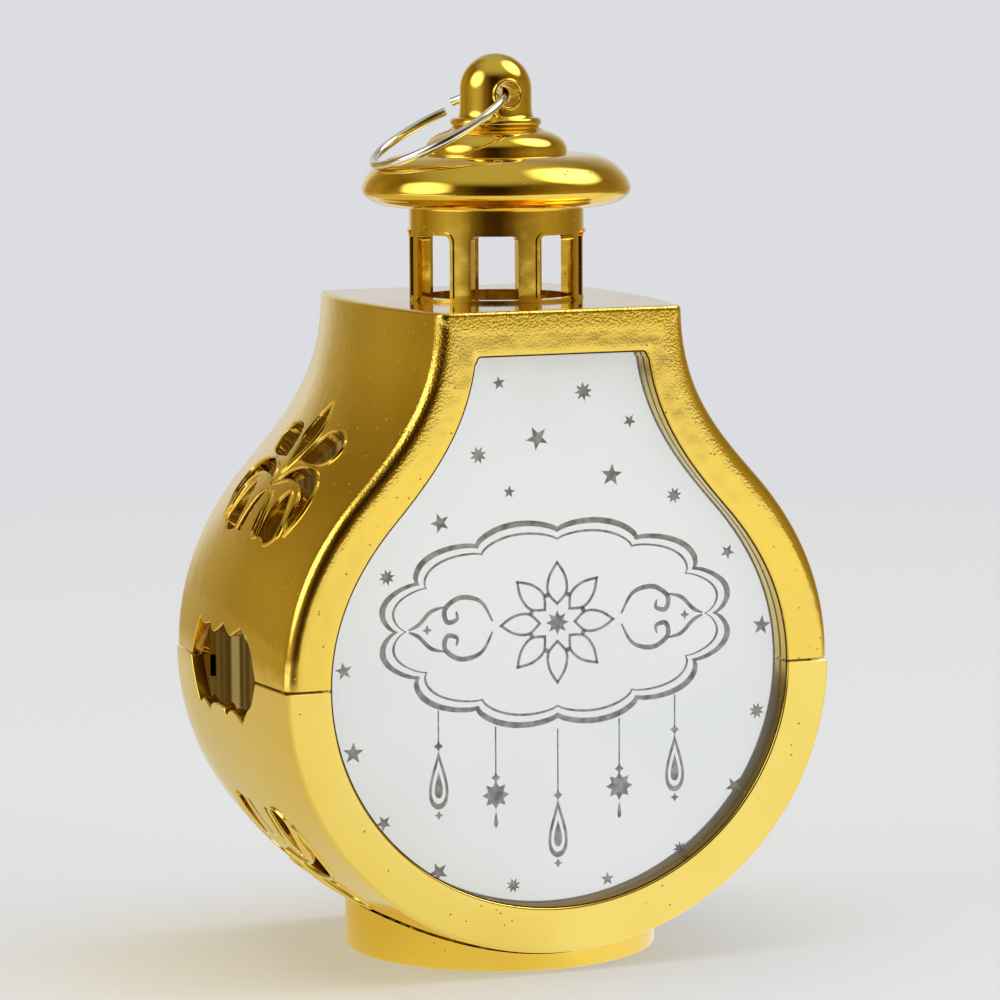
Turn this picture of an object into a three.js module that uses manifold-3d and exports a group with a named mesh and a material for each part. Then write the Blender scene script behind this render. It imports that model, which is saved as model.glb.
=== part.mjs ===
// Decorative LED lantern: a flat, round-bellied plated body with a narrow neck, a little gallery
// with a domed roof on top, a knob that carries an open hanging ring, and a round foot that holds
// the button cells, the switch and the LED.
//
// Millimetres. X runs across the front, -Y is the front, +Z is up. The origin is under the middle
// of the foot, on the surface that the lantern stands on.

import * as THREE from "three";
import * as BufferGeometryUtils from "three/addons/utils/BufferGeometryUtils.js";
import Module from "manifold-3d";

const wasm = await Module();
wasm.setup();

// Driving dimensions

const GAP = 0.3; // running and seating gap between separate pieces
const OVERCUT = 1.0; // how far a cut runs past what it cuts

const TOTAL_HEIGHT = 140.0; // to the crown of the knob
const BODY_DEPTH = 54.8; // front frame face to back frame face
const BODY_BOTTOM_Z = 3.3; // lowest point of the front frame
const SEAM_Z = 46.1; // where the two shells meet, at the widest point
const BELLY_HALF_WIDTH = 44.45; // at the seam
const NECK_HALF_WIDTH = 19.7; // at the top plate
const WAIST_HALF_WIDTH = 32.3; // where the outline turns from round to hollow
const WAIST_SHARE = 0.5206; // its place between the seam and the top plate
const WAIST_ANGLE = 132.7; // direction of the outline there, degrees from +X
const BELLY_HANDLE = 0.2075; // curve handles, as shares of the rise from the seam to the top plate
const WAIST_HANDLE = 0.1968;
const NECK_HANDLE = 0.22;
const BULGE_BELLY = 1.4; // how far the side wall swells at mid depth, by height
const BULGE_NECK = 3.2;
const BULGE_BOTTOM = 2.1;
const WALL = 2.0; // shell wall
const UPPER_EDGE_R = 1.8; // rounding of the upper shell's front and back edges
const LOWER_EDGE_R = 0.5; // the lower shell's edges are crisp
const TOP_EDGE_R = 2.0; // rounding between the side walls and the top plate

const FRAME_WIDTH = 7.0; // frame round the panel, at the belly
const FRAME_WIDTH_NECK = 5.8; // and at the neck
const FRAME_TOP_BAR = 6.7; // and across the top
const FRAME_THICK = 2.4;
const PANEL_THICK = 1.2;
const CLIP_THICK = 1.2; // clips on the walls behind each panel
const CLIP_HEIGHT = 2.2;
const CLIP_WIDTH = 6.0;
const CLIP_STATIONS = [0.06, 0.3, 0.56, 0.84]; // where they sit, as shares of the outline
const LUG_WIDTH = 4.0; // locating lugs that key the two shells together
const LUG_THICK = 1.2;
const LUG_HEIGHT = 3.5; // above the seam
const LUG_ROOT = 4.0; // below it
const LUG_SETBACK = 1.5; // from the end of the wavy opening

const SIDE_HOLE_HALF_LENGTH = 16.0; // wavy opening across the seam in each side wall
const SIDE_HOLE_HALF_HEIGHT = 6.6;
const ORNAMENT_ABOVE_WAIST = 0.8; // middle of the pierced palmette above the seam
const ORNAMENT_LOW_ANGLE = 45.0; // middle of the one below, as degrees round the belly

const GALLERY_RADIUS = 13.65;
const GALLERY_WALL = 2.0;
const GALLERY_HEIGHT = 13.5;
const POST_COUNT = 8;
const POST_WIDTH = 3.5;
const ARCH_SILL = 0.9; // below the windows between the posts
const ARCH_LINTEL = 3.5; // above them
const ARCH_CORNER_R = 1.0;

const BRIM_RADIUS = 21.0;
const BRIM_HEIGHT = 8.5; // from the gallery to the brim's upper face
const BRIM_EDGE_DROP = 5.6; // from the upper face to the widest edge
const BRIM_SHOULDER = [[6.0, 0.05], [4.1, 0.15], [2.6, 0.31], [1.6, 0.46], [0.6, 0.69], [0, 1]]; // as the cove
const BRIM_COVE = [[0.4, 0.35], [1.6, 0.68], [4.2, 0.92]]; // [in from the edge, share of the drop]
const BRIM_SEAT_LAP = 0.4; // underside beyond the gallery's wall
const DOME_RADIUS = 11.1;
const DOME_TOP_RADIUS = 5.5;
const DOME_HEIGHT = 3.7; // above the brim's upper face
const DOME_FOOT = 0.3; // upright part of it
const ROOF_WALL = 1.7;
const SPIGOT_LENGTH = 1.5; // how far the roof reaches into the gallery
const SPIGOT_WALL = 1.4;

const KNOB_RADIUS = 5.6;
const KNOB_HEIGHT = 9.9; // above its moulding
const KNOB_FLARE = 0.4; // where it meets the moulding
const KNOB_FLARE_HEIGHT = 1.4;
const KNOB_RING_RADIUS = 7.1; // moulding under the knob
const KNOB_RING_HEIGHT = 1.5;
const KNOB_RING_ROUND = 0.5;
const KNOB_PEG_RADIUS = 2.0;
const KNOB_HOLE_RADIUS = 1.9;
const KNOB_HOLE_DROP = 6.3; // below the crown

const RING_RADIUS = 11.5; // middle of the wire
const RING_WIRE = 1.3;
const RING_OFFSET = 0.75; // the wire's middle beyond the hole's axis
const RING_REST = 0.4; // wire above the brim's shoulder
const RING_GAP_AT = 58.0; // where the wire is cut, degrees round the ring
const RING_GAP = 1.6;
const RING_SPREAD = 0.9; // how far the cut ends are sprung sideways

const FOOT_RADIUS = 24.5;
const FOOT_WALL = 2.2;
const FLOOR_BOTTOM_Z = 0.8;
const FLOOR_THICK = 1.5;
const BODY_PORT_RADIUS = 17.0; // opening in the lower shell over the foot
const FOOT_SCREW_X = 19.5;
const SCREW_SHANK_R = 1.0;
const SCREW_HEAD_R = 1.9;
const SCREW_HEAD_THICK = 0.7;
const SCREW_BOSS_R = 2.5;
const SCREW_BOSS_END = 2.0; // boss above the foot screw's tip
const FOOT_SCREW_TOP_Z = 6.6;

const CELL_RADIUS = 5.8; // LR44 button cells
const CELL_THICK = 5.4;
const CELL_COUNT = 3;
const BAY_WALL = 1.2;
const CONTACT_THICK = 0.4;
const CONTACT_HALF_WIDTH = 4.0;
const CONTACT_HALF_HEIGHT = 4.5;
const CONTACT_TONGUE_HALF = 1.0; // narrow part that reaches the board
const SPRING_THICK = 1.3;
const SPRING_BASE_R = 3.6;
const SPRING_TIP_R = 2.0;
const DOOR_THICK = 0.8;
const DOOR_LIP = 0.5; // how far the door laps the bay on each side
const DOOR_TAB_LENGTH = 4.8;
const DOOR_TAB_WIDTH = 6.0;
const DOOR_SEAT_THICK = 0.4; // door left over the sunk screw head
const DOOR_PAD_Y = 1.5; // pads under the cells
const DOOR_PAD_WIDTH = 1.2;
const DOOR_SCREW_TOP_Z = 6.0;

const BOARD_THICK = 1.0;
const BOARD_HALF_LENGTH = 10.5;
const BOARD_HALF_WIDTH = 6.0;
const LED_RADIUS = 2.5;
const LED_HEIGHT = 8.6;
const HOLDER_RADIUS = 4.4;
const HOLDER_HEIGHT = 5.0;

const SWITCH_Y = 11.4;
const SWITCH_HALF_LENGTH = 5.0;
const SWITCH_HALF_WIDTH = 2.4;
const SWITCH_HEIGHT = 4.6;
const SLIDER_TRAVEL = 2.4;
const SLIDER_HALF_LENGTH = 1.5;
const SLIDER_HALF_WIDTH = 0.9;
const SLIDER_FLANGE_LAP = 0.5; // flange beyond the knob of the slider, lengthways
const SLIDER_FLANGE_HALF_WIDTH = 1.1;
const SLIDER_END_Z = 0.35;

// Sizes that follow from them, from the crown down

const KNOB_HOLE_Z = TOTAL_HEIGHT - KNOB_HOLE_DROP;
const KNOB_FOOT_Z = TOTAL_HEIGHT - KNOB_HEIGHT - KNOB_RING_HEIGHT;
const DOME_TOP_Z = KNOB_FOOT_Z - GAP;
const BRIM_TOP_Z = DOME_TOP_Z - DOME_HEIGHT;
const BRIM_EDGE_Z = BRIM_TOP_Z - BRIM_EDGE_DROP;
const ROOF_SEAT_Z = BRIM_TOP_Z - BRIM_HEIGHT;
const GALLERY_TOP_Z = ROOF_SEAT_Z - GAP;
const GALLERY_FOOT_Z = GALLERY_TOP_Z - GALLERY_HEIGHT;
const GALLERY_BORE = GALLERY_RADIUS - GALLERY_WALL;
const TOP_Z = GALLERY_FOOT_Z - GAP; // upper face of the body's top plate
const UPPER_RISE = TOP_Z - SEAM_Z;
const WAIST_Z = SEAM_Z + WAIST_SHARE * UPPER_RISE;
const BELLY_HALF_HEIGHT = SEAM_Z - BODY_BOTTOM_Z;
const HALF_DEPTH = BODY_DEPTH / 2;
const PANEL_OUT_Y = HALF_DEPTH - FRAME_THICK - GAP;
const PANEL_IN_Y = PANEL_OUT_Y - PANEL_THICK;
const CLIP_OUT_Y = PANEL_IN_Y - GAP;
const LUG_Y = SIDE_HOLE_HALF_LENGTH + LUG_SETBACK + LUG_WIDTH / 2;
const FLOOR_TOP_Z = FLOOR_BOTTOM_Z + FLOOR_THICK;
const STACK_HALF = (CELL_COUNT * CELL_THICK + (CELL_COUNT - 1) * GAP) / 2;
const DOOR_TOP_Z = FLOOR_BOTTOM_Z + DOOR_THICK;
const CELL_AXIS_Z = FLOOR_TOP_Z + GAP + CELL_RADIUS;
const BAY_HALF_WIDTH = CELL_RADIUS + GAP;
const BAY_LEFT_X = -(STACK_HALF + GAP + SPRING_THICK + GAP);
const BAY_RIGHT_X = STACK_HALF + GAP + CONTACT_THICK + GAP;
const BAY_TOP_Z = CELL_AXIS_Z + CELL_RADIUS + GAP;
const BAY_ROOF_Z = BAY_TOP_Z + BAY_WALL;
const BOARD_Z = BAY_ROOF_Z + GAP;
const BOARD_TOP_Z = BOARD_Z + BOARD_THICK;
const SWITCH_Z = FLOOR_TOP_Z + GAP;
const DOOR_SCREW_X = BAY_RIGHT_X + BAY_WALL + SCREW_BOSS_R;

// Materials

const finish = (color, roughness, metalness) =>
  new THREE.MeshStandardMaterial({ color, roughness, metalness });
const GOLD = { color: 0xe2b93b, roughness: 0.18, metalness: 1.0 };
const STEEL = { color: 0xc9cbcd, roughness: 0.25, metalness: 1.0 };
const PRINTED = { color: 0xe2e6e8, roughness: 0.5, metalness: 0.0 };
const BOARD_GREEN = { color: 0x2f6b3a, roughness: 0.5, metalness: 0.0 };
const WHITE_PLASTIC = { color: 0xf2f2ee, roughness: 0.5, metalness: 0.0 };
const CLEAR_RESIN = { color: 0xf6e7b8, roughness: 0.1, metalness: 0.0 };
const BLACK_PLASTIC = { color: 0x1f1f21, roughness: 0.5, metalness: 0.0 };

const lantern = new THREE.Group();
const addPart = (name, geometry, look, parent = lantern) => {
  const mesh = new THREE.Mesh(geometry, finish(look.color, look.roughness, look.metalness));
  mesh.name = name;
  parent.add(mesh);
  return mesh;
};

// Helpers

const radians = THREE.MathUtils.degToRad;

function toSolid(geometry) {
  const bare = geometry.clone();
  bare.deleteAttribute("normal");
  bare.deleteAttribute("uv");
  const merged = BufferGeometryUtils.mergeVertices(bare, 1e-4);
  return new wasm.Manifold(
    new wasm.Mesh({
      numProp: 3,
      vertProperties: new Float32Array(merged.attributes.position.array),
      triVerts: new Uint32Array(merged.index.array),
    })
  );
}

function toGeometry(solid) {
  const mesh = solid.getMesh();
  const geometry = new THREE.BufferGeometry();
  geometry.setAttribute("position", new THREE.BufferAttribute(new Float32Array(mesh.vertProperties), 3));
  geometry.setIndex(new THREE.BufferAttribute(new Uint32Array(mesh.triVerts), 1));
  geometry.computeVertexNormals();
  return geometry;
}

const box = (x0, x1, y0, y1, z0, z1) =>
  toSolid(
    new THREE.BoxGeometry(x1 - x0, y1 - y0, z1 - z0).translate((x0 + x1) / 2, (y0 + y1) / 2, (z0 + z1) / 2)
  );

// An upright cylinder
const rod = (radius, z0, z1, x = 0, y = 0, segments = 24) =>
  toSolid(
    new THREE.CylinderGeometry(radius, radius, z1 - z0, segments)
      .rotateX(Math.PI / 2)
      .translate(x, y, (z0 + z1) / 2)
  );

// A turned piece about the Z axis; the profile is a list of [radius, z]
const turned = (profile, segments) =>
  new THREE.LatheGeometry(profile.map(([r, z]) => new THREE.Vector2(r, z)), segments).rotateX(Math.PI / 2);

// A flat outline pushed through along its own normal, centred on its plane
function slab(points, depth) {
  const shape = new THREE.Shape(points.map(([u, v]) => new THREE.Vector2(u, v)));
  return new THREE.ExtrudeGeometry(shape, { depth, bevelEnabled: false }).translate(0, 0, -depth / 2);
}

const mirrored = (points) => points.map(([u, v]) => [-u, v]).reverse();

// Closed solid through a list of rings, with a fan over each end
function loft(rings, endHeight) {
  const count = rings[0].length;
  const positions = rings.flat().flat();
  const faces = [];
  for (let k = 0; k < rings.length - 1; k += 1) {
    for (let i = 0; i < count; i += 1) {
      const a = k * count + i;
      const b = k * count + ((i + 1) % count);
      faces.push(a, b + count, b, a, a + count, b + count);
    }
  }
  const first = rings.length * count;
  const last = first + 1;
  positions.push(0, rings[0][0][1], endHeight, 0, rings[rings.length - 1][0][1], endHeight);
  for (let i = 0; i < count; i += 1) {
    const j = (i + 1) % count;
    faces.push(first, i, j, last, (rings.length - 1) * count + j, (rings.length - 1) * count + i);
  }
  const geometry = new THREE.BufferGeometry();
  geometry.setAttribute("position", new THREE.Float32BufferAttribute(positions, 3));
  geometry.setIndex(faces);
  return toSolid(geometry);
}

// Body outline: half of an ellipse below the seam, an S curve above it up to the neck

const waistDirection = new THREE.Vector2(Math.cos(radians(WAIST_ANGLE)), Math.sin(radians(WAIST_ANGLE)));
const waistPoint = new THREE.Vector2(WAIST_HALF_WIDTH, WAIST_Z);
const bellyCurve = new THREE.CubicBezierCurve(
  new THREE.Vector2(BELLY_HALF_WIDTH, SEAM_Z),
  new THREE.Vector2(BELLY_HALF_WIDTH, SEAM_Z + BELLY_HANDLE * UPPER_RISE),
  waistPoint.clone().addScaledVector(waistDirection, -WAIST_HANDLE * UPPER_RISE),
  waistPoint
);
const neckCurve = new THREE.CubicBezierCurve(
  waistPoint,
  waistPoint.clone().addScaledVector(waistDirection, WAIST_HANDLE * UPPER_RISE),
  new THREE.Vector2(NECK_HALF_WIDTH, TOP_Z - NECK_HANDLE * UPPER_RISE),
  new THREE.Vector2(NECK_HALF_WIDTH, TOP_Z)
);

const smooth = (t) => {
  const s = THREE.MathUtils.clamp(t, 0, 1);
  return s * s * (3 - 2 * s);
};

// Each point has its place, its outward normal, its swell at mid depth and its edge rounding
function outlinePoint(x, z, nx, nz) {
  const rise = smooth((z - SEAM_Z) / (WAIST_Z - SEAM_Z));
  const fall = THREE.MathUtils.clamp((SEAM_Z - z) / BELLY_HALF_HEIGHT, 0, 1);
  const bulge = BULGE_BELLY + (BULGE_NECK - BULGE_BELLY) * rise + (BULGE_BOTTOM - BULGE_BELLY) * fall;
  const edge = z > SEAM_Z + GAP ? UPPER_EDGE_R : LOWER_EDGE_R;
  const climb = THREE.MathUtils.clamp((z - SEAM_Z) / UPPER_RISE, 0, 1);
  return { x, z, nx, nz, bulge, edge, climb };
}

const LOWER_STEPS = 12;
const UPPER_STEPS = 7;

function rightSide() {
  const side = [];
  for (let i = 0; i <= LOWER_STEPS; i += 1) {
    const turn = (-Math.PI / 2) * (1 - i / LOWER_STEPS);
    const nx = Math.cos(turn) / BELLY_HALF_WIDTH;
    const nz = Math.sin(turn) / BELLY_HALF_HEIGHT;
    const size = Math.hypot(nx, nz);
    const x = i === 0 ? 0 : BELLY_HALF_WIDTH * Math.cos(turn);
    const z = SEAM_Z + BELLY_HALF_HEIGHT * Math.sin(turn);
    side.push(outlinePoint(x, z, nx / size, nz / size));
  }
  for (const curve of [bellyCurve, neckCurve]) {
    for (let i = 1; i <= UPPER_STEPS; i += 1) {
      const place = curve.getPoint(i / UPPER_STEPS);
      const along = curve.getTangent(i / UPPER_STEPS);
      side.push(outlinePoint(place.x, place.y, along.y, -along.x));
    }
  }
  return side;
}
const SIDE = rightSide();

// The whole outline moved inwards by inset(point), with its top corners rounded, or square at 0
function outline(inset, topZ, cornerRadius) {
  const right = SIDE.map((p) => ({ ...p, x: p.x - p.nx * inset(p), z: p.z - p.nz * inset(p) })).filter(
    (p) => p.z < topZ - Math.max(cornerRadius, GAP)
  );
  right[0].x = 0;
  const neck = SIDE[SIDE.length - 1];
  const cornerX = neck.x - inset(neck);
  const turns = cornerRadius > 0 ? [0, Math.PI / 6, Math.PI / 3, Math.PI / 2] : [Math.PI / 4];
  for (const turn of turns) {
    const nx = Math.cos(turn);
    const nz = Math.sin(turn);
    const x = cornerX - cornerRadius * (1 - nx);
    const z = topZ - cornerRadius * (1 - nz);
    right.push({ ...neck, x, z, nx, nz, climb: 1 });
  }
  const left = right.slice(1).map((p) => ({ ...p, x: -p.x, nx: -p.nx }));
  return [...right, ...left.reverse()];
}

// How far a point of the body swells sideways at depth y
const swell = (p, y) => {
  const share = 1 - (y / HALF_DEPTH) ** 2;
  const outward = p.climb === 1 ? { nx: Math.sign(p.x), nz: 0 } : p;
  return [outward.nx * p.bulge * share, outward.nz * p.bulge * share];
};

const ringAt = (points, depthOf, insetOf, swelling = 1) =>
  points.map((p) => {
    const y = depthOf(p);
    const [sx, sz] = swell(p, y);
    const inset = insetOf(p);
    return [p.x - p.nx * inset + sx * swelling, y, p.z - p.nz * inset + sz * swelling];
  });

const MIDDLE_Z = (SEAM_Z + TOP_Z) / 2;

// A solid between two depths that follows the outline
function plate(inset, topZ, y0, y1, depths = [], swelling = 1) {
  const points = outline(inset, topZ, 0);
  return loft(
    [y0, ...depths, y1].map((y) => ringAt(points, () => y, () => 0, swelling)),
    MIDDLE_Z
  );
}

// Full body with its rounded front and back edges, grown by a margin
const MID_DEPTHS = [-0.6, 0, 0.6].map((share) => share * HALF_DEPTH);
const EDGE_STEPS = 2;

function bodyBlock(margin) {
  const points = outline(() => -margin, TOP_Z + margin, TOP_EDGE_R);
  const rings = [];
  for (const side of [-1, 1]) {
    const half = [];
    for (let k = 0; k <= EDGE_STEPS; k += 1) {
      const turn = (k / EDGE_STEPS) * (Math.PI / 2);
      half.push(
        ringAt(
          points,
          (p) => side * (HALF_DEPTH + margin - p.edge * (1 - Math.cos(turn))),
          (p) => p.edge * (1 - Math.sin(turn))
        )
      );
    }
    rings.push(side < 0 ? half : half.reverse());
  }
  const middle = MID_DEPTHS.map((y) => ringAt(points, () => y, () => 0));
  return loft([...rings[0], ...middle, ...rings[1]], MIDDLE_Z);
}

const frameWidth = (p) => FRAME_WIDTH + (FRAME_WIDTH_NECK - FRAME_WIDTH) * p.climb ** 3;

// Pierced palmette, right half and middle leaf, as [across, up] from its centre

const SPEAR = [
  [0, -0.9], [1.6, 3.0], [2.7, 7.0], [1.6, 10.8], [0, 13.0], [-1.6, 10.8], [-2.7, 7.0], [-1.6, 3.0],
];
const SIDE_LEAF = [
  [3.6, 2.0], [8.6, 1.7], [12.6, 3.4], [13.0, 6.4], [10.0, 8.6], [6.4, 8.5], [4.2, 5.4],
];
const VOLUTE = [
  [1.2, -3.6], [4.6, -2.3], [9.0, -2.3], [12.2, -4.4], [13.4, -8.8],
  [14.6, -9.9], [15.9, -6.2], [15.0, -1.9], [11.4, 0.4], [6.6, 0.4], [2.6, -1.2],
];
const TONGUE = [
  [6.5, -11.8], [9.4, -12.9], [12.2, -11.2], [10.4, -7.0], [8.4, -4.1], [6.4, -7.2],
];
const STEM_SLOT = [
  [1.1, -5.2], [3.2, -6.6], [4.7, -12.0], [3.0, -12.3],
];
const PALMETTE = [SPEAR];
for (const shape of [SIDE_LEAF, VOLUTE, TONGUE, STEM_SLOT]) {
  PALMETTE.push(shape, mirrored(shape));
}
const SIDE_CUT = 12.0; // depth of the cuts, through the side wall only

// Puts a flat cut on the right side wall: "across" runs along Y, "up" along the given direction
function onSideWall(geometry, place, up) {
  const outward = new THREE.Vector3(up.z, 0, -up.x);
  const across = new THREE.Vector3(0, 1, 0);
  const matrix = new THREE.Matrix4().makeBasis(across, up, outward);
  matrix.setPosition(place.x, 0, place.z);
  return geometry.clone().applyMatrix4(matrix);
}

function ornamentCuts() {
  const upperTurn = new THREE.Vector3(waistDirection.x, 0, waistDirection.y);
  const alongWaist = ORNAMENT_ABOVE_WAIST / waistDirection.y;
  const upperPlace = {
    x: WAIST_HALF_WIDTH + alongWaist * waistDirection.x,
    z: WAIST_Z + ORNAMENT_ABOVE_WAIST,
  };
  const turn = radians(ORNAMENT_LOW_ANGLE);
  const lowPlace = {
    x: BELLY_HALF_WIDTH * Math.cos(turn),
    z: SEAM_Z - BELLY_HALF_HEIGHT * Math.sin(turn),
  };
  const lowTurn = new THREE.Vector3(
    -BELLY_HALF_WIDTH * Math.sin(turn), 0, -BELLY_HALF_HEIGHT * Math.cos(turn)
  ).normalize();
  const cuts = [];
  for (const shape of PALMETTE) {
    cuts.push(onSideWall(slab(shape, SIDE_CUT), upperPlace, upperTurn));
    // turned over below the seam, so that the spear points down
    cuts.push(onSideWall(slab(mirrored(shape), SIDE_CUT), lowPlace, lowTurn));
  }
  return cuts;
}

// Wavy opening: pointed ends on the seam, little spikes, and shallow scallops between.
// A quarter of its edge, as shares of its half length and half height
const WAVE_QUARTER = [
  [1, 0], [0.9, 0.32], [0.8, 0.62], [0.74, 1], [0.66, 0.84], [0.5, 0.93],
  [0.36, 0.86], [0.3, 0.72], [0.14, 0.8],
];
const WAVE_MIDDLE = [0, 0.9];

function sideOpening() {
  const top = [...WAVE_QUARTER, WAVE_MIDDLE, ...mirrored(WAVE_QUARTER)];
  const low = top.slice(1, -1).map(([u, v]) => [u, -v]).reverse();
  const edge = [...top, ...low].map(([u, v]) => [u * SIDE_HOLE_HALF_LENGTH, v * SIDE_HOLE_HALF_HEIGHT]);
  const place = { x: BELLY_HALF_WIDTH, z: SEAM_Z };
  return onSideWall(slab(edge, SIDE_CUT), place, new THREE.Vector3(0, 0, 1));
}

// Shells

const REACH_X = BELLY_HALF_WIDTH + BULGE_BELLY + OVERCUT;
const REACH_Y = HALF_DEPTH + OVERCUT;
const CAVITY_HALF = HALF_DEPTH - FRAME_THICK;
let shells = bodyBlock(0).subtract(plate(() => WALL, TOP_Z - WALL, -CAVITY_HALF, CAVITY_HALF, MID_DEPTHS));
for (const station of CLIP_STATIONS) {
  const p = SIDE[Math.round(station * (SIDE.length - 1))];
  const reach = WALL / 2 + CLIP_HEIGHT;
  const middle = WALL + CLIP_HEIGHT - reach / 2;
  for (const side of [-1, 1]) {
    for (const end of [-1, 1]) {
      const clip = new THREE.BoxGeometry(reach, CLIP_THICK, CLIP_WIDTH)
        .rotateY(-Math.atan2(p.nz, side * p.nx))
        .translate(side * (p.x - p.nx * middle), end * (CLIP_OUT_Y - CLIP_THICK / 2), p.z - p.nz * middle);
      shells = shells.add(toSolid(clip));
    }
  }
}
const windowTop = TOP_Z - FRAME_TOP_BAR;
shells = shells.subtract(plate(frameWidth, windowTop, -REACH_Y, -PANEL_OUT_Y, [], 0));
shells = shells.subtract(plate(frameWidth, windowTop, PANEL_OUT_Y, REACH_Y, [], 0));
for (const cut of [...ornamentCuts(), sideOpening()]) {
  shells = shells.subtract(toSolid(cut));
  shells = shells.subtract(toSolid(cut.clone().rotateZ(Math.PI)));
}
shells = shells.subtract(rod(GALLERY_BORE, TOP_Z - WALL - OVERCUT, TOP_Z + OVERCUT, 0, 0, 48));

const bossFoot = FLOOR_TOP_Z + GAP;
let lower = shells
  .subtract(box(-REACH_X, REACH_X, -REACH_Y, REACH_Y, SEAM_Z - GAP / 2, TOP_Z + OVERCUT))
  .subtract(rod(BODY_PORT_RADIUS, 0, SEAM_Z, 0, 0, 48));
for (const side of [-1, 1]) {
  const x = side * FOOT_SCREW_X;
  lower = lower.add(rod(SCREW_BOSS_R, bossFoot, FOOT_SCREW_TOP_Z + SCREW_BOSS_END, x, 0));
  lower = lower.subtract(rod(SCREW_SHANK_R + GAP, 0, FOOT_SCREW_TOP_Z + GAP, x, 0, 16));
  for (const end of [-1, 1]) {
    const y0 = end * LUG_Y - LUG_WIDTH / 2;
    const lugX = BELLY_HALF_WIDTH - WALL - GAP - LUG_THICK;
    const xs = [side * lugX, side * (lugX + LUG_THICK)].sort((a, b) => a - b);
    const rootXs = [side * lugX, side * (lugX + LUG_THICK + GAP + WALL / 2)].sort((a, b) => a - b);
    lower = lower.add(box(xs[0], xs[1], y0, y0 + LUG_WIDTH, SEAM_Z - LUG_ROOT, SEAM_Z + LUG_HEIGHT));
    lower = lower.add(box(rootXs[0], rootXs[1], y0, y0 + LUG_WIDTH, SEAM_Z - LUG_ROOT, SEAM_Z - GAP));
  }
}
const upper = shells.subtract(box(-REACH_X, REACH_X, -REACH_Y, REACH_Y, 0, SEAM_Z + GAP / 2));
addPart("upper_shell", toGeometry(upper), GOLD);
addPart("lower_shell", toGeometry(lower), GOLD);

// Panels

const panelEdge = () => WALL + GAP;
for (const [name, y0, y1] of [
  ["front_panel", -PANEL_OUT_Y, -PANEL_IN_Y],
  ["back_panel", PANEL_IN_Y, PANEL_OUT_Y],
]) {
  addPart(name, toGeometry(plate(panelEdge, TOP_Z - WALL - GAP, y0, y1, [], 0)), PRINTED);
}

// Gallery

function gallerySolid() {
  let wall = rod(GALLERY_RADIUS, GALLERY_FOOT_Z, GALLERY_TOP_Z, 0, 0, 40).subtract(
    rod(GALLERY_BORE, GALLERY_FOOT_Z - OVERCUT, GALLERY_TOP_Z + OVERCUT, 0, 0, 40)
  );
  const half = GALLERY_RADIUS * Math.sin(Math.PI / POST_COUNT - Math.asin(POST_WIDTH / 2 / GALLERY_RADIUS));
  const sill = GALLERY_FOOT_Z + ARCH_SILL;
  const cornerZ = GALLERY_TOP_Z - ARCH_LINTEL - ARCH_CORNER_R;
  const arch = new THREE.Shape();
  arch.moveTo(-half, sill);
  arch.lineTo(half, sill);
  arch.lineTo(half, cornerZ);
  arch.absarc(half - ARCH_CORNER_R, cornerZ, ARCH_CORNER_R, 0, Math.PI / 2, false);
  arch.absarc(ARCH_CORNER_R - half, cornerZ, ARCH_CORNER_R, Math.PI / 2, Math.PI, false);
  const cut = new THREE.ExtrudeGeometry(arch, {
    depth: GALLERY_RADIUS,
    bevelEnabled: false,
    curveSegments: 2,
  });
  cut.rotateX(Math.PI / 2).translate(0, -GALLERY_BORE / 2, 0);
  for (let i = 0; i < POST_COUNT; i += 1) {
    const turn = ((i + 0.5) * 2 * Math.PI) / POST_COUNT;
    wall = wall.subtract(toSolid(cut.clone().rotateZ(turn)));
  }
  return wall;
}
addPart("gallery", toGeometry(gallerySolid()), GOLD);

// Roof: a thick rounded brim with a dome, hollow underneath, seated in the gallery by a spigot

const ROOF_STEPS = 4;
const roofTurn = (i) => (Math.PI / 2) * (i / ROOF_STEPS);

function roofProfile() {
  const pegHole = KNOB_PEG_RADIUS + GAP;
  const profile = [[pegHole, DOME_TOP_Z]];
  for (let i = 0; i <= ROOF_STEPS; i += 1) {
    profile.push([
      DOME_TOP_RADIUS + (DOME_RADIUS - DOME_TOP_RADIUS) * Math.sin(roofTurn(i)),
      DOME_TOP_Z - (DOME_HEIGHT - DOME_FOOT) * (1 - Math.cos(roofTurn(i))),
    ]);
  }
  profile.push([DOME_RADIUS, BRIM_TOP_Z]);
  for (const [inward, share] of BRIM_SHOULDER) {
    profile.push([BRIM_RADIUS - inward, BRIM_TOP_Z - share * BRIM_EDGE_DROP]);
  }
  const drop = BRIM_EDGE_Z - ROOF_SEAT_Z;
  for (const [inward, share] of BRIM_COVE) {
    profile.push([BRIM_RADIUS - inward, BRIM_EDGE_Z - share * drop]);
  }
  const spigot = GALLERY_BORE - GAP;
  const bore = spigot - SPIGOT_WALL;
  const spigotEnd = GALLERY_TOP_Z - SPIGOT_LENGTH;
  profile.push(
    [GALLERY_RADIUS + BRIM_SEAT_LAP, ROOF_SEAT_Z],
    [spigot, ROOF_SEAT_Z],
    [spigot, spigotEnd],
    [bore, spigotEnd],
    [bore, BRIM_TOP_Z - ROOF_WALL],
    [DOME_RADIUS - ROOF_WALL, BRIM_TOP_Z + DOME_FOOT],
    [DOME_TOP_RADIUS, DOME_TOP_Z - ROOF_WALL],
    [pegHole, DOME_TOP_Z - ROOF_WALL],
    [pegHole, DOME_TOP_Z]
  );
  return profile;
}
addPart("roof", toGeometry(toSolid(turned(roofProfile().reverse(), 30))), GOLD);

// Knob on its ring moulding, pegged into the dome, with the cross hole for the hanging ring

const KNOB_STEPS = 5;

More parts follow.
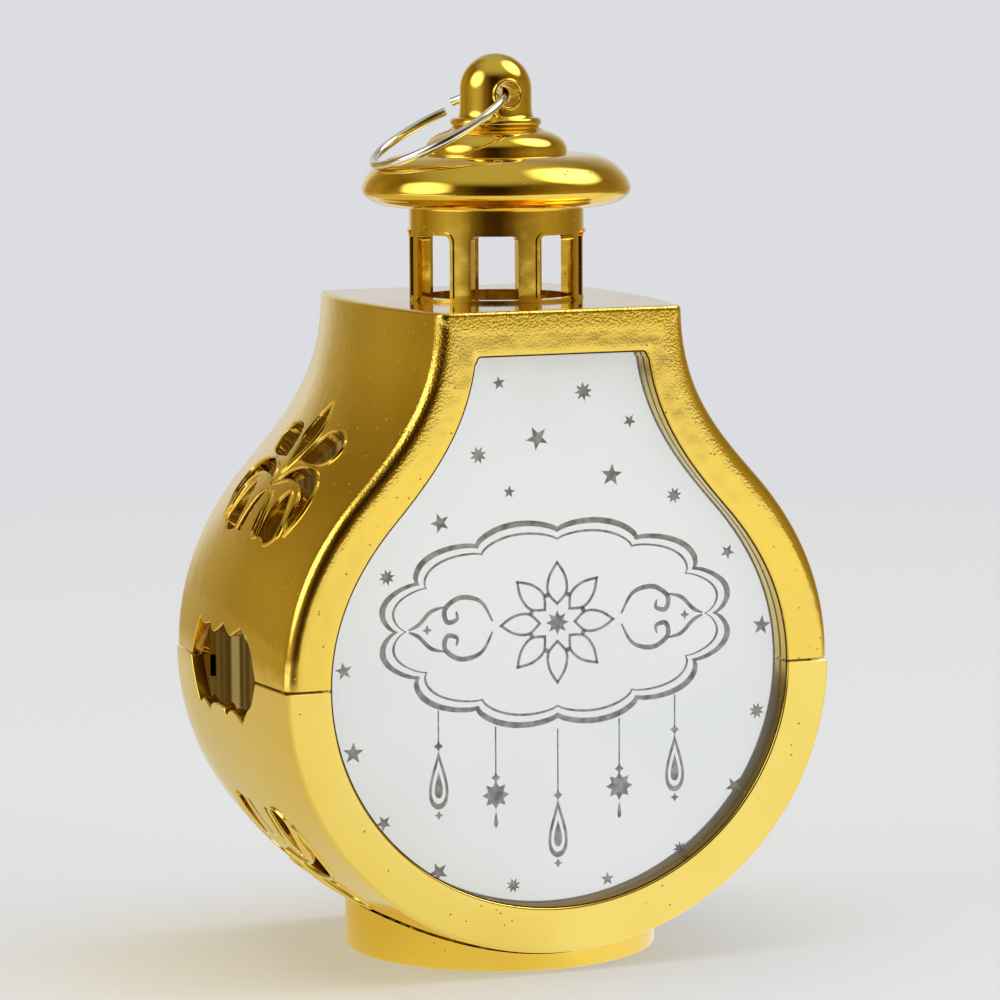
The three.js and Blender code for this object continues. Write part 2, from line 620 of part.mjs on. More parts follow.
function knobSolid() {
  const pegEnd = DOME_TOP_Z - ROOF_WALL + GAP;
  const shoulder = KNOB_FOOT_Z + KNOB_RING_HEIGHT;
  const profile = [
    [0, pegEnd],
    [KNOB_PEG_RADIUS, pegEnd],
    [KNOB_PEG_RADIUS, KNOB_FOOT_Z],
    [KNOB_RING_RADIUS - KNOB_RING_ROUND, KNOB_FOOT_Z],
    [KNOB_RING_RADIUS, KNOB_FOOT_Z + KNOB_RING_ROUND],
    [KNOB_RING_RADIUS, shoulder - KNOB_RING_ROUND],
    [KNOB_RING_RADIUS - KNOB_RING_ROUND, shoulder],
    [KNOB_RADIUS + KNOB_FLARE, shoulder],
    [KNOB_RADIUS + KNOB_FLARE / 4, shoulder + KNOB_FLARE_HEIGHT / 3],
    [KNOB_RADIUS, shoulder + KNOB_FLARE_HEIGHT],
  ];
  for (let i = 0; i < KNOB_STEPS; i += 1) {
    const turn = (Math.PI / 2) * (i / KNOB_STEPS);
    profile.push([KNOB_RADIUS * Math.cos(turn), TOTAL_HEIGHT - KNOB_RADIUS * (1 - Math.sin(turn))]);
  }
  profile.push([0, TOTAL_HEIGHT]);
  const bore = new THREE.CylinderGeometry(KNOB_HOLE_RADIUS, KNOB_HOLE_RADIUS, 4 * KNOB_RADIUS, 14);
  return toSolid(turned(profile, 24)).subtract(toSolid(bore.translate(0, 0, KNOB_HOLE_Z)));
}
addPart("knob", toGeometry(knobSolid()), GOLD);

// Hanging ring: a cut wire ring, its ends sprung apart, through the knob's hole

const RING_STEPS = 34;

function ringGeometry() {
  const gapTurn = RING_GAP / RING_RADIUS;
  const start = radians(RING_GAP_AT) - gapTurn / 2;
  const sweep = 2 * Math.PI - gapTurn;
  const points = [];
  for (let i = 0; i <= RING_STEPS; i += 1) {
    const share = i / RING_STEPS;
    const turn = start - sweep * share;
    const x = RING_RADIUS * Math.cos(turn);
    const y = RING_RADIUS * Math.sin(turn);
    points.push(new THREE.Vector3(x, y, RING_SPREAD * (0.5 - share)));
  }
  const section = new THREE.Shape();
  section.absarc(0, 0, RING_WIRE / 2, 0, 2 * Math.PI, false);
  return new THREE.ExtrudeGeometry(section, {
    steps: RING_STEPS,
    curveSegments: 4,
    bevelEnabled: false,
    extrudePath: new THREE.CatmullRomCurve3(points),
  });
}

// It leans on the brim's shoulder: the slope from the hole to there, less what the wire takes up
const REST_STATION = 3;
const [restInward, restShare] = BRIM_SHOULDER[REST_STATION];
const restOut = BRIM_RADIUS - restInward;
const restDown = KNOB_HOLE_Z - BRIM_TOP_Z + restShare * BRIM_EDGE_DROP;
const wireTurn = Math.asin((RING_WIRE / 2 + RING_REST) / Math.hypot(restOut, restDown));
const ringDip = Math.atan2(restDown, restOut) - wireTurn;
const ringPivot = new THREE.Group();
ringPivot.position.set(0, 0, KNOB_HOLE_Z);
ringPivot.rotation.y = -ringDip;
lantern.add(ringPivot);
const ring = addPart("hanging_ring", toGeometry(toSolid(ringGeometry())), STEEL, ringPivot);
ring.position.x = RING_OFFSET - RING_RADIUS;

// Foot: a round cup that closes the body from below and carries the battery bay

const bayRebate = DOOR_LIP + GAP;
const footBore = FOOT_RADIUS - FOOT_WALL;
const footFloorPlug = rod(BODY_PORT_RADIUS - GAP, 0, SEAM_Z, 0, 0, 36); // reaches up into the body's port
let foot = rod(FOOT_RADIUS, 0, SEAM_Z, 0, 0, 48)
  .subtract(rod(footBore, FLOOR_TOP_Z, SEAM_Z + OVERCUT, 0, 0, 48))
  .subtract(rod(footBore, -OVERCUT, FLOOR_BOTTOM_Z, 0, 0, 48))
  .subtract(bodyBlock(GAP).subtract(footFloorPlug));
foot = foot.add(
  box(
    BAY_LEFT_X - BAY_WALL, BAY_RIGHT_X + BAY_WALL,
    -BAY_HALF_WIDTH - BAY_WALL, BAY_HALF_WIDTH + BAY_WALL,
    FLOOR_BOTTOM_Z, BAY_ROOF_Z
  )
);
foot = foot.add(rod(SCREW_BOSS_R, FLOOR_BOTTOM_Z, DOOR_SCREW_TOP_Z + OVERCUT, DOOR_SCREW_X, 0));
foot = foot.subtract(
  box(BAY_LEFT_X, BAY_RIGHT_X, -BAY_HALF_WIDTH, BAY_HALF_WIDTH, 0, BAY_TOP_Z)
);
foot = foot.subtract(
  box(
    BAY_LEFT_X - bayRebate, BAY_RIGHT_X + bayRebate,
    -BAY_HALF_WIDTH - bayRebate, BAY_HALF_WIDTH + bayRebate,
    0, DOOR_TOP_Z + GAP
  )
);
const tabEnd = BAY_RIGHT_X + DOOR_LIP + DOOR_TAB_LENGTH;
foot = foot.subtract(
  box(
    BAY_RIGHT_X, tabEnd + GAP,
    -DOOR_TAB_WIDTH / 2 - GAP, DOOR_TAB_WIDTH / 2 + GAP,
    0, DOOR_TOP_Z + GAP
  )
);
foot = foot.subtract(rod(SCREW_SHANK_R + GAP, 0, DOOR_SCREW_TOP_Z + GAP, DOOR_SCREW_X, 0, 16));
for (const side of [-1, 1]) {
  const x = side * FOOT_SCREW_X;
  foot = foot.subtract(rod(SCREW_SHANK_R + GAP, 0, FLOOR_TOP_Z + OVERCUT, x, 0, 16));
  foot = foot.subtract(rod(SCREW_HEAD_R + GAP, 0, FLOOR_BOTTOM_Z + SCREW_HEAD_THICK, x, 0, 20));
}
const slotHalf = SLIDER_TRAVEL / 2 + SLIDER_HALF_LENGTH + GAP;
const slotSide = SLIDER_HALF_WIDTH + GAP;
foot = foot.subtract(
  box(-slotHalf, slotHalf, SWITCH_Y - slotSide, SWITCH_Y + slotSide, 0, FLOOR_TOP_Z + OVERCUT)
);
// slots that let the contacts reach the board
const tongueSide = CONTACT_TONGUE_HALF + GAP;
for (const [x0, x1] of [
  [BAY_LEFT_X, BAY_LEFT_X + GAP * 2 + CONTACT_THICK],
  [BAY_RIGHT_X - GAP * 2 - CONTACT_THICK, BAY_RIGHT_X],
]) {
  foot = foot.subtract(box(x0, x1, -tongueSide, tongueSide, BAY_TOP_Z - OVERCUT, BAY_ROOF_Z + OVERCUT));
}
addPart("foot", toGeometry(foot), GOLD);

// Screws: a pan head below, a plain shank above

const screw = (headBottom, top, x) =>
  rod(SCREW_HEAD_R, headBottom, headBottom + SCREW_HEAD_THICK, x, 0, 20).add(
    rod(SCREW_SHANK_R, headBottom + SCREW_HEAD_THICK / 2, top, x, 0, 16)
  );
const footScrewHead = FLOOR_BOTTOM_Z - GAP;
addPart("foot_screw_left", toGeometry(screw(footScrewHead, FOOT_SCREW_TOP_Z, -FOOT_SCREW_X)), STEEL);
addPart("foot_screw_right", toGeometry(screw(footScrewHead, FOOT_SCREW_TOP_Z, FOOT_SCREW_X)), STEEL);

// Battery door with its screw tab, and two pads that keep the cells up

const doorSeatZ = DOOR_TOP_Z - DOOR_SEAT_THICK;
let door = box(
  BAY_LEFT_X - DOOR_LIP, BAY_RIGHT_X + DOOR_LIP,
  -BAY_HALF_WIDTH - DOOR_LIP, BAY_HALF_WIDTH + DOOR_LIP,
  FLOOR_BOTTOM_Z, DOOR_TOP_Z
).add(box(BAY_RIGHT_X, tabEnd, -DOOR_TAB_WIDTH / 2, DOOR_TAB_WIDTH / 2, FLOOR_BOTTOM_Z, DOOR_TOP_Z));
for (const side of [-1, 1]) {
  const y0 = side * DOOR_PAD_Y - DOOR_PAD_WIDTH / 2;
  const padTop = CELL_AXIS_Z - CELL_RADIUS - GAP / 2;
  door = door.add(box(-STACK_HALF, STACK_HALF, y0, y0 + DOOR_PAD_WIDTH, DOOR_TOP_Z - GAP, padTop));
}
door = door
  .subtract(rod(SCREW_SHANK_R + GAP, 0, DOOR_TOP_Z + OVERCUT, DOOR_SCREW_X, 0, 16))
  .subtract(rod(SCREW_HEAD_R + GAP, 0, doorSeatZ, DOOR_SCREW_X, 0, 20));
addPart("battery_door", toGeometry(door), GOLD);
const doorScrewHead = doorSeatZ - GAP - SCREW_HEAD_THICK;
addPart("door_screw", toGeometry(screw(doorScrewHead, DOOR_SCREW_TOP_Z, DOOR_SCREW_X)), STEEL);

// Button cells in a row, with a plate at one end and a sprung contact at the other

for (let i = 0; i < CELL_COUNT; i += 1) {
  const x = -STACK_HALF + CELL_THICK / 2 + i * (CELL_THICK + GAP);
  const cell = new THREE.CylinderGeometry(CELL_RADIUS, CELL_RADIUS, CELL_THICK, 24).rotateZ(Math.PI / 2);
  addPart(`button_cell_${i + 1}`, cell.translate(x, 0, CELL_AXIS_Z), STEEL);
}

// A square leaf against the cell, with a tongue up to the board
const contactLeaf = (x) =>
  box(
    x, x + CONTACT_THICK,
    -CONTACT_HALF_WIDTH, CONTACT_HALF_WIDTH,
    CELL_AXIS_Z - CONTACT_HALF_HEIGHT, CELL_AXIS_Z + CONTACT_HALF_HEIGHT
  ).add(box(x, x + CONTACT_THICK, -CONTACT_TONGUE_HALF, CONTACT_TONGUE_HALF, CELL_AXIS_Z, BAY_ROOF_Z));
addPart("contact_plate", toGeometry(contactLeaf(STACK_HALF + GAP)), STEEL);
const springX = -STACK_HALF - GAP;
const coneLength = SPRING_THICK - CONTACT_THICK / 2;
const springCone = new THREE.CylinderGeometry(SPRING_BASE_R, SPRING_TIP_R, coneLength, 16)
  .rotateZ(Math.PI / 2)
  .translate(springX - coneLength / 2, 0, CELL_AXIS_Z);
addPart("contact_spring", toGeometry(toSolid(springCone).add(contactLeaf(springX - SPRING_THICK))), STEEL);

// LED on its board, in a short holder

const board = box(
  -BOARD_HALF_LENGTH, BOARD_HALF_LENGTH, -BOARD_HALF_WIDTH, BOARD_HALF_WIDTH, BOARD_Z, BOARD_TOP_Z
);
addPart("led_board", toGeometry(board), BOARD_GREEN);
const holderBore = LED_RADIUS + GAP;
const holderZ = BOARD_TOP_Z + GAP;
const holderTop = holderZ + HOLDER_HEIGHT;
const holder = rod(HOLDER_RADIUS, holderZ, holderTop).subtract(
  rod(holderBore, holderZ - OVERCUT, holderTop + OVERCUT)
);
addPart("led_holder", toGeometry(holder), WHITE_PLASTIC);
const LED_STEPS = 4;
const ledShoulder = holderZ + LED_HEIGHT - LED_RADIUS;
const ledProfile = [[0, holderZ], [LED_RADIUS, holderZ]];
for (let i = 0; i < LED_STEPS; i += 1) {
  const turn = (Math.PI / 2) * (i / LED_STEPS);
  ledProfile.push([LED_RADIUS * Math.cos(turn), ledShoulder + LED_RADIUS * Math.sin(turn)]);
}
ledProfile.push([0, ledShoulder + LED_RADIUS]);
addPart("led", turned(ledProfile, 20), CLEAR_RESIN);

// Slide switch: a fixed housing over the floor and a slider that shows through the slot

const flangeHalf = SLIDER_HALF_LENGTH + SLIDER_FLANGE_LAP;
const slideRoom = SLIDER_TRAVEL / 2 + flangeHalf + GAP;
const slideSide = SLIDER_FLANGE_HALF_WIDTH + GAP;
const slideTop = SWITCH_Z + SWITCH_HEIGHT / 2;
const switchBody = box(
  -SWITCH_HALF_LENGTH, SWITCH_HALF_LENGTH,
  SWITCH_Y - SWITCH_HALF_WIDTH, SWITCH_Y + SWITCH_HALF_WIDTH,
  SWITCH_Z, SWITCH_Z + SWITCH_HEIGHT
).subtract(
  box(-slideRoom, slideRoom, SWITCH_Y - slideSide, SWITCH_Y + slideSide, SWITCH_Z - OVERCUT, slideTop)
);
addPart("switch_body", toGeometry(switchBody), BLACK_PLASTIC);
const slider = box(
  -SLIDER_HALF_LENGTH, SLIDER_HALF_LENGTH,
  -SLIDER_HALF_WIDTH, SLIDER_HALF_WIDTH,
  SLIDER_END_Z, slideTop - GAP
).add(
  box(
    -flangeHalf, flangeHalf,
    -SLIDER_FLANGE_HALF_WIDTH, SLIDER_FLANGE_HALF_WIDTH,
    SWITCH_Z + GAP, slideTop - GAP
  )
);
const sliderMesh = addPart("switch_slider", toGeometry(slider), BLACK_PLASTIC);
sliderMesh.position.set(-SLIDER_TRAVEL / 2, SWITCH_Y, 0);

export default lantern;
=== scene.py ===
# Looks of a decorative LED lantern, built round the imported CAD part.
# Objects are in metres, in the CAD frame. Meshes are drawn in millimetres and scaled as they are placed.

import bisect
import math

import bmesh
import bpy
from mathutils import Matrix, Vector


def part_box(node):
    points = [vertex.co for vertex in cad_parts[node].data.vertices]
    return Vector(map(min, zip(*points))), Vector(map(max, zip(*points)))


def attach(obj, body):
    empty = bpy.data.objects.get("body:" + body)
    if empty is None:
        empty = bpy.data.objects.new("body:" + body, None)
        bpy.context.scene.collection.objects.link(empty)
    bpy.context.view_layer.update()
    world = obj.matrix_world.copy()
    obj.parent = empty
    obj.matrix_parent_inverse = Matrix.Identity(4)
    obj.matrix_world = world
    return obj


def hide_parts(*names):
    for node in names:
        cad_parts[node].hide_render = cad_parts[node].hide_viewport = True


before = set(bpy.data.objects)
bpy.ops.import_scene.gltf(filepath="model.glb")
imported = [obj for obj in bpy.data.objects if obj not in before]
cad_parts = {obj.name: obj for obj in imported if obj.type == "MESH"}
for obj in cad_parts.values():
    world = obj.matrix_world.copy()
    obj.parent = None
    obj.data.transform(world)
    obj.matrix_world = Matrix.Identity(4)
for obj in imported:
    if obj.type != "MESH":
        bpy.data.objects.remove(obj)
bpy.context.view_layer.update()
MM = 0.001

# Camera. It stands a little above the roof and to the left of the front, on a long lens, so that
# the front is seen nearly flat and the left side wall foreshortened.

VIEW_TURN = math.radians(21.447)
VIEW_DROP = math.radians(6.785)
VIEW_ROLL = math.radians(-0.283)
VIEW_DISTANCE = 716.291 * MM
VIEW_LENS = 164.17
sideways = Vector((math.cos(VIEW_TURN), -math.sin(VIEW_TURN), 0))
towards_camera = Vector(
    (
        -math.sin(VIEW_TURN) * math.cos(VIEW_DROP),
        -math.cos(VIEW_TURN) * math.cos(VIEW_DROP),
        math.sin(VIEW_DROP),
    )
)
aim = Vector((0, 0, 70.107 * MM)) + sideways * 0.38 * MM
camera = bpy.data.objects.new("camera", bpy.data.cameras.new("camera"))
camera.data.lens = VIEW_LENS
camera.data.sensor_width = 36.0
camera.data.clip_start = 0.01
camera.data.clip_end = 100.0
camera.matrix_world = (
    Matrix.Translation(aim + towards_camera * VIEW_DISTANCE)
    @ Matrix.Rotation(-VIEW_TURN, 4, "Z")
    @ Matrix.Rotation(math.pi / 2 - VIEW_DROP, 4, "X")
    @ Matrix.Rotation(VIEW_ROLL, 4, "Z")
)
bpy.context.scene.collection.objects.link(camera)
bpy.context.scene.camera = camera
bpy.context.scene.view_settings.view_transform = "Standard"

# Room and table. A white table under a pale blue-grey wall. What the gold mirrors of them goes round
# the lantern: dark where the camera stands, a window on the left, amber behind on the left, a pale
# back, and a wide bright side at the front right.

WALL_COLOUR = (0.715, 0.725, 0.757)
TABLE_RADIUS = 1.4
TABLE_FADE = (0.52, 0.66)
TABLE_END = (1.15, 1.36)
TABLE_NEAR = (0.26, 0.50)
# Colours round the lantern; 0 is the front, 0.25 the left, 0.5 the back, 0.75 the right
ROOM_WALLS = [
    (0.0, (0.12, 0.075, 0.025)),
    (0.05, (0.035, 0.018, 0.005)),
    (0.10, (0.05, 0.028, 0.009)),
    (0.16, (0.22, 0.15, 0.05)),
    (0.20, (0.50, 0.42, 0.22)),
    (0.25, (0.58, 0.50, 0.30)),
    (0.30, (0.46, 0.36, 0.14)),
    (0.36, (0.31, 0.22, 0.05)),
    (0.41, (0.43, 0.32, 0.08)),
    (0.44, (0.37, 0.27, 0.06)),
    (0.475, (0.48, 0.38, 0.15)),
    (0.50, (0.80, 0.76, 0.68)),
    (0.58, (0.68, 0.68, 0.72)),
    (0.65, (0.42, 0.33, 0.14)),
    (0.72, (0.30, 0.21, 0.06)),
    (0.80, (0.36, 0.27, 0.09)),
    (0.88, (0.44, 0.34, 0.12)),
    (0.95, (0.26, 0.18, 0.06)),
    (1.0, (0.14, 0.09, 0.03)),
]
FAR_TABLE = [
    (0.0, (0.42, 0.35, 0.19)),
    (0.03, (0.12, 0.07, 0.02)),
    (0.10, (0.10, 0.06, 0.02)),
    (0.15, (0.30, 0.23, 0.10)),
    (0.195, (1.30, 1.36, 1.75)),
    (0.29, (1.30, 1.36, 1.75)),
    (0.325, (0.50, 0.39, 0.14)),
    (0.36, (0.35, 0.26, 0.07)),
    (0.41, (0.46, 0.35, 0.09)),
    (0.44, (0.38, 0.28, 0.07)),
    (0.475, (0.49, 0.41, 0.20)),
    (0.50, (0.66, 0.63, 0.60)),
    (0.58, (0.62, 0.62, 0.66)),
    (0.66, (0.40, 0.31, 0.10)),
    (0.76, (0.40, 0.31, 0.10)),
    (0.82, (1.00, 1.00, 1.00)),
    (0.90, (1.06, 1.06, 1.06)),
    (0.955, (1.06, 1.06, 1.04)),
    (0.985, (0.74, 0.70, 0.56)),
    (1.0, (0.42, 0.35, 0.19)),
]
NEAR_TABLE = [
    (0.0, (0.88, 0.86, 0.78)),
    (0.06, (0.80, 0.76, 0.62)),
    (0.16, (0.78, 0.73, 0.58)),
    (0.25, (0.70, 0.62, 0.40)),
    (0.33, (0.68, 0.58, 0.30)),
    (0.45, (0.62, 0.54, 0.32)),
    (0.49, (0.76, 0.73, 0.68)),
    (0.53, (0.86, 0.86, 0.86)),
    (0.75, (0.86, 0.84, 0.78)),
    (0.88, (0.98, 0.99, 1.0)),
    (0.96, (0.98, 0.99, 1.0)),
    (1.0, (0.88, 0.86, 0.78)),
]


def new_material(name):
    """A material with an empty node tree; returns it with its nodes and links."""
    material = bpy.data.materials.new(name)
    material.use_nodes = True
    material.node_tree.nodes.clear()
    return material, material.node_tree.nodes, material.node_tree.links


def ramp(nodes, links, value, stops):
    """A colour ramp over a value; returns its colour output."""
    node = nodes.new("ShaderNodeValToRGB")
    elements = node.color_ramp.elements
    while len(elements) < len(stops):
        elements.new(0.5)
    for element, (place, colour) in zip(elements, stops):
        element.position = place
        element.color = (*colour, 1)
    links.new(value, node.inputs["Fac"])
    return node.outputs["Color"]


def spread(nodes, links, value, low, high, out_low=0.0, out_high=1.0, smooth=True):
    """Maps a value from one range to another, clamped."""
    node = nodes.new("ShaderNodeMapRange")
    node.interpolation_type = "SMOOTHSTEP" if smooth else "LINEAR"
    links.new(value, node.inputs["Value"])
    node.inputs["From Min"].default_value = low
    node.inputs["From Max"].default_value = high
    node.inputs["To Min"].default_value = out_low
    node.inputs["To Max"].default_value = out_high
    return node.outputs["Result"]


def mixed(nodes, links, factor, first, second, blend="MIX"):
    """A mix of two colours; each is a plain colour or a socket."""
    node = nodes.new("ShaderNodeMix")
    node.data_type = "RGBA"
    node.blend_type = blend
    for name, given in (("Factor", factor), ("A", first), ("B", second)):
        if isinstance(given, bpy.types.NodeSocket):
            links.new(given, node.inputs[name])
        elif isinstance(given, tuple):
            node.inputs[name].default_value = (*given, 1)
        else:
            node.inputs[name].default_value = given
    return node.outputs["Result"]


def reach(nodes, links, vector, centre):
    """Distance of a place from a centre."""
    node = nodes.new("ShaderNodeVectorMath")
    node.operation = "DISTANCE"
    links.new(vector, node.inputs[0])
    node.inputs[1].default_value = centre
    return node.outputs["Value"]


def room_group():
    """The colours that stand round the lantern, far off and on the table near it."""
    group = bpy.data.node_groups.new("room_round", "ShaderNodeTree")
    group.interface.new_socket("Vector", in_out="INPUT", socket_type="NodeSocketVector")
    for name in ("Room", "Far", "Near"):
        group.interface.new_socket(name, in_out="OUTPUT", socket_type="NodeSocketColor")
    nodes, links = group.nodes, group.links
    given = nodes.new("NodeGroupInput")
    made = nodes.new("NodeGroupOutput")
    parts = nodes.new("ShaderNodeSeparateXYZ")
    links.new(given.outputs["Vector"], parts.inputs[0])
    turn = nodes.new("ShaderNodeMath")
    turn.operation = "ARCTAN2"
    links.new(parts.outputs["X"], turn.inputs[0])
    links.new(parts.outputs["Y"], turn.inputs[1])
    around = spread(nodes, links, turn.outputs[0], -math.pi, math.pi, smooth=False)
    links.new(ramp(nodes, links, around, ROOM_WALLS), made.inputs["Room"])
    links.new(ramp(nodes, links, around, FAR_TABLE), made.inputs["Far"])
    links.new(ramp(nodes, links, around, NEAR_TABLE), made.inputs["Near"])
    return group


ROOM = room_group()


def table_look():
    material, nodes, links = new_material("table")
    place = nodes.new("ShaderNodeTexCoord").outputs["Object"]
    distance = reach(nodes, links, place, (0, 0, 0))
    round_about = nodes.new("ShaderNodeGroup")
    round_about.node_tree = ROOM
    links.new(place, round_about.inputs["Vector"])
    far = spread(nodes, links, distance, *TABLE_NEAR)
    glow = nodes.new("ShaderNodeEmission")
    links.new(mixed(nodes, links, far, round_about.outputs["Near"], round_about.outputs["Far"]), glow.inputs["Color"])
    paper = nodes.new("ShaderNodeBsdfDiffuse")
    paper.inputs["Color"].default_value = (0.27, 0.275, 0.29, 1)
    # the table glows a little and evenly, which keeps its shadows light, and by the foot the glow turns warm: a painted
    # glow standing for light thrown from the gold
    painted_gold_glow = spread(nodes, links, reach(nodes, links, place, (-0.034, -0.012, 0)), 0.010, 0.075, 1.0, 0.0)
    soft = nodes.new("ShaderNodeEmission")
    links.new(mixed(nodes, links, painted_gold_glow, (0.375, 0.385, 0.395), (0.43, 0.38, 0.27)), soft.inputs["Color"])
    sheet = nodes.new("ShaderNodeAddShader")
    links.new(paper.outputs[0], sheet.inputs[0])
    links.new(soft.outputs[0], sheet.inputs[1])
    path = nodes.new("ShaderNodeLightPath")
    seen = nodes.new("ShaderNodeMixShader")
    links.new(path.outputs["Is Glossy Ray"], seen.inputs["Fac"])
    links.new(sheet.outputs[0], seen.inputs[1])
    links.new(glow.outputs[0], seen.inputs[2])
    clear = nodes.new("ShaderNodeBsdfTransparent")
    ends = []
    for fade in (TABLE_FADE, TABLE_END):
        ends.append(spread(nodes, links, distance, *fade))
    end = nodes.new("ShaderNodeMix")
    links.new(path.outputs["Is Glossy Ray"], end.inputs["Factor"])
    links.new(ends[0], end.inputs["A"])
    links.new(ends[1], end.inputs["B"])
    # seen from below, the table lets the underside of the lantern show
    below = nodes.new("ShaderNodeMath")
    below.operation = "MAXIMUM"
    links.new(end.outputs["Result"], below.inputs[0])
    links.new(nodes.new("ShaderNodeNewGeometry").outputs["Backfacing"], below.inputs[1])
    edge = nodes.new("ShaderNodeMixShader")
    links.new(below.outputs[0], edge.inputs["Fac"])
    links.new(seen.outputs[0], edge.inputs[1])
    links.new(clear.outputs[0], edge.inputs[2])
    out = nodes.new("ShaderNodeOutputMaterial")
    links.new(edge.outputs[0], out.inputs["Surface"])
    return material


table_mesh = bmesh.new()
bmesh.ops.create_circle(table_mesh, cap_ends=True, segments=96, radius=TABLE_RADIUS)
table_data = bpy.data.meshes.new("table")
table_mesh.to_mesh(table_data)
table_mesh.free()
table_data.materials.append(table_look())
table = bpy.data.objects.new("table", table_data)
bpy.context.scene.collection.objects.link(table)


def window_spot(nodes, links, way, turn, climb, inner, outer, strength):
    """A soft bright spot in the room; its turn is from the front to the left, in degrees."""
    turn, climb, inner, outer = (math.radians(v) for v in (turn, climb, inner, outer))
    node = nodes.new("ShaderNodeVectorMath")
    node.operation = "DOT_PRODUCT"
    links.new(way, node.inputs[0])
    node.inputs[1].default_value = (
        -math.sin(turn) * math.cos(climb),
        -math.cos(turn) * math.cos(climb),
        math.sin(climb),
    )
    return spread(nodes, links, node.outputs["Value"], math.cos(outer), math.cos(inner), 0.0, strength)


def room():
    world = bpy.data.worlds.new("room")
    world.use_nodes = True
    nodes = world.node_tree.nodes
    links = world.node_tree.links
    nodes.clear()
    way = nodes.new("ShaderNodeTexCoord").outputs["Generated"]
    parts = nodes.new("ShaderNodeSeparateXYZ")
    links.new(way, parts.inputs[0])
    round_about = nodes.new("ShaderNodeGroup")
    round_about.node_tree = ROOM
    links.new(way, round_about.inputs["Vector"])
    climb = spread(nodes, links, parts.outputs["Z"], -1, 1, smooth=False)
    shade = ramp(
        nodes,
        links,
        climb,
        [
            (0.0, (0.80, 0.80, 0.80)),
            (0.40, (0.95, 0.95, 0.95)),
            (0.46, (0.90, 0.90, 0.90)),
            (0.56, (0.95, 0.95, 0.95)),
            (0.66, (0.80, 0.78, 0.74)),
            (0.80, (0.55, 0.52, 0.46)),
            (1.0, (0.62, 0.60, 0.55)),
        ],
    )
    walls = mixed(nodes, links, 1.0, round_about.outputs["Room"], shade, "MULTIPLY")
    overhead = spread(nodes, links, parts.outputs["Z"], 0.62, 0.97)
    whole = mixed(nodes, links, overhead, walls, (0.50, 0.48, 0.34))
    for spot in (
        window_spot(nodes, links, way, -84, 52, 6, 27, 3.0),
        window_spot(nodes, links, way, 92, 28, 6, 27, 2.2),
    ):
        whole = mixed(nodes, links, 1.0, whole, spot, "ADD")
    mirrored = nodes.new("ShaderNodeBackground")
    links.new(whole, mirrored.inputs["Color"])
    wall = nodes.new("ShaderNodeBackground")
    wall.inputs["Color"].default_value = (*WALL_COLOUR, 1)
    path = nodes.new("ShaderNodeLightPath")
    seen = nodes.new("ShaderNodeMixShader")
    links.new(path.outputs["Is Camera Ray"], seen.inputs["Fac"])
    links.new(mirrored.outputs[0], seen.inputs[1])
    links.new(wall.outputs[0], seen.inputs[2])
    out = nodes.new("ShaderNodeOutputWorld")
    links.new(seen.outputs[0], out.inputs["Surface"])
    bpy.context.scene.world = world


room()

# Lights. A large window-like box at the front right, a small one high on the left, and a wide soft
# one overhead, which also lights the table. The gold mirrors the room's soft windows in their place.


def soft_light(name, place, size, power, colour=(1, 1, 1)):
    data = bpy.data.lights.new(name, "AREA")
    data.shape = "RECTANGLE"
    data.size, data.size_y = size
    data.energy = power
    data.color = colour
    light = bpy.data.objects.new(name, data)
    light.location = place
    light.rotation_mode = "QUATERNION"
    light.rotation_quaternion = (Vector((0, 0, 0.07)) - Vector(place)).to_track_quat("-Z", "Y")
    light.visible_glossy = False
    bpy.context.scene.collection.objects.link(light)


soft_light("window_light", (0.75, -0.75, 0.62), (0.9, 0.9), 5.0)
soft_light("left_light", (-0.7, -0.55, 0.75), (0.6, 0.6), 1.6)
soft_light("top_light", (0.0, 0.1, 1.3), (1.2, 1.2), 12.0, (1.0, 0.99, 0.97))

# Body shells. Two moulded plastic halves, plated mirror gold, that close on each other at the widest
# point. Their walls are pierced with a palmette above and below a wavy opening on the seam, and
# frames at the front and back hold the panels.

TOTAL_HEIGHT = 140.0
HALF_DEPTH = 27.4
SEAM_Z = 46.1
TOP_Z = 102.0
BODY_BOTTOM_Z = 3.3
BELLY_HALF_WIDTH = 44.45
BELLY_HALF_HEIGHT = SEAM_Z - BODY_BOTTOM_Z
NECK_HALF_WIDTH = 19.7
UPPER_RISE = TOP_Z - SEAM_Z
WAIST = Vector((32.3, 75.2))
WAIST_WAY = Vector((math.cos(math.radians(132.7)), math.sin(math.radians(132.7))))
BELLY_HANDLE = 11.6
WAIST_HANDLE = 11.0
NECK_HANDLE = 12.3
WALL = 2.0
FRAME_WIDTH = 7.0
FRAME_WIDTH_NECK = 5.8
FRAME_TOP_BAR = 6.7
FRAME_INNER_Y = 25.0
TOP_EDGE_R = 0.8
WINDOW_CORNER_R = 0.8
WINDOW_EDGE_R = 0.35
UPPER_EDGE_R = 1.8
TOP_EDGE_SHARE = 0.4
LOWER_EDGE_R = 0.5
SEAM_START = 0.27
SEAM_CHAMFER = 0.12
RIM_R = 0.26
SHARP_ANGLE = math.radians(38)
DEEP = -7.0

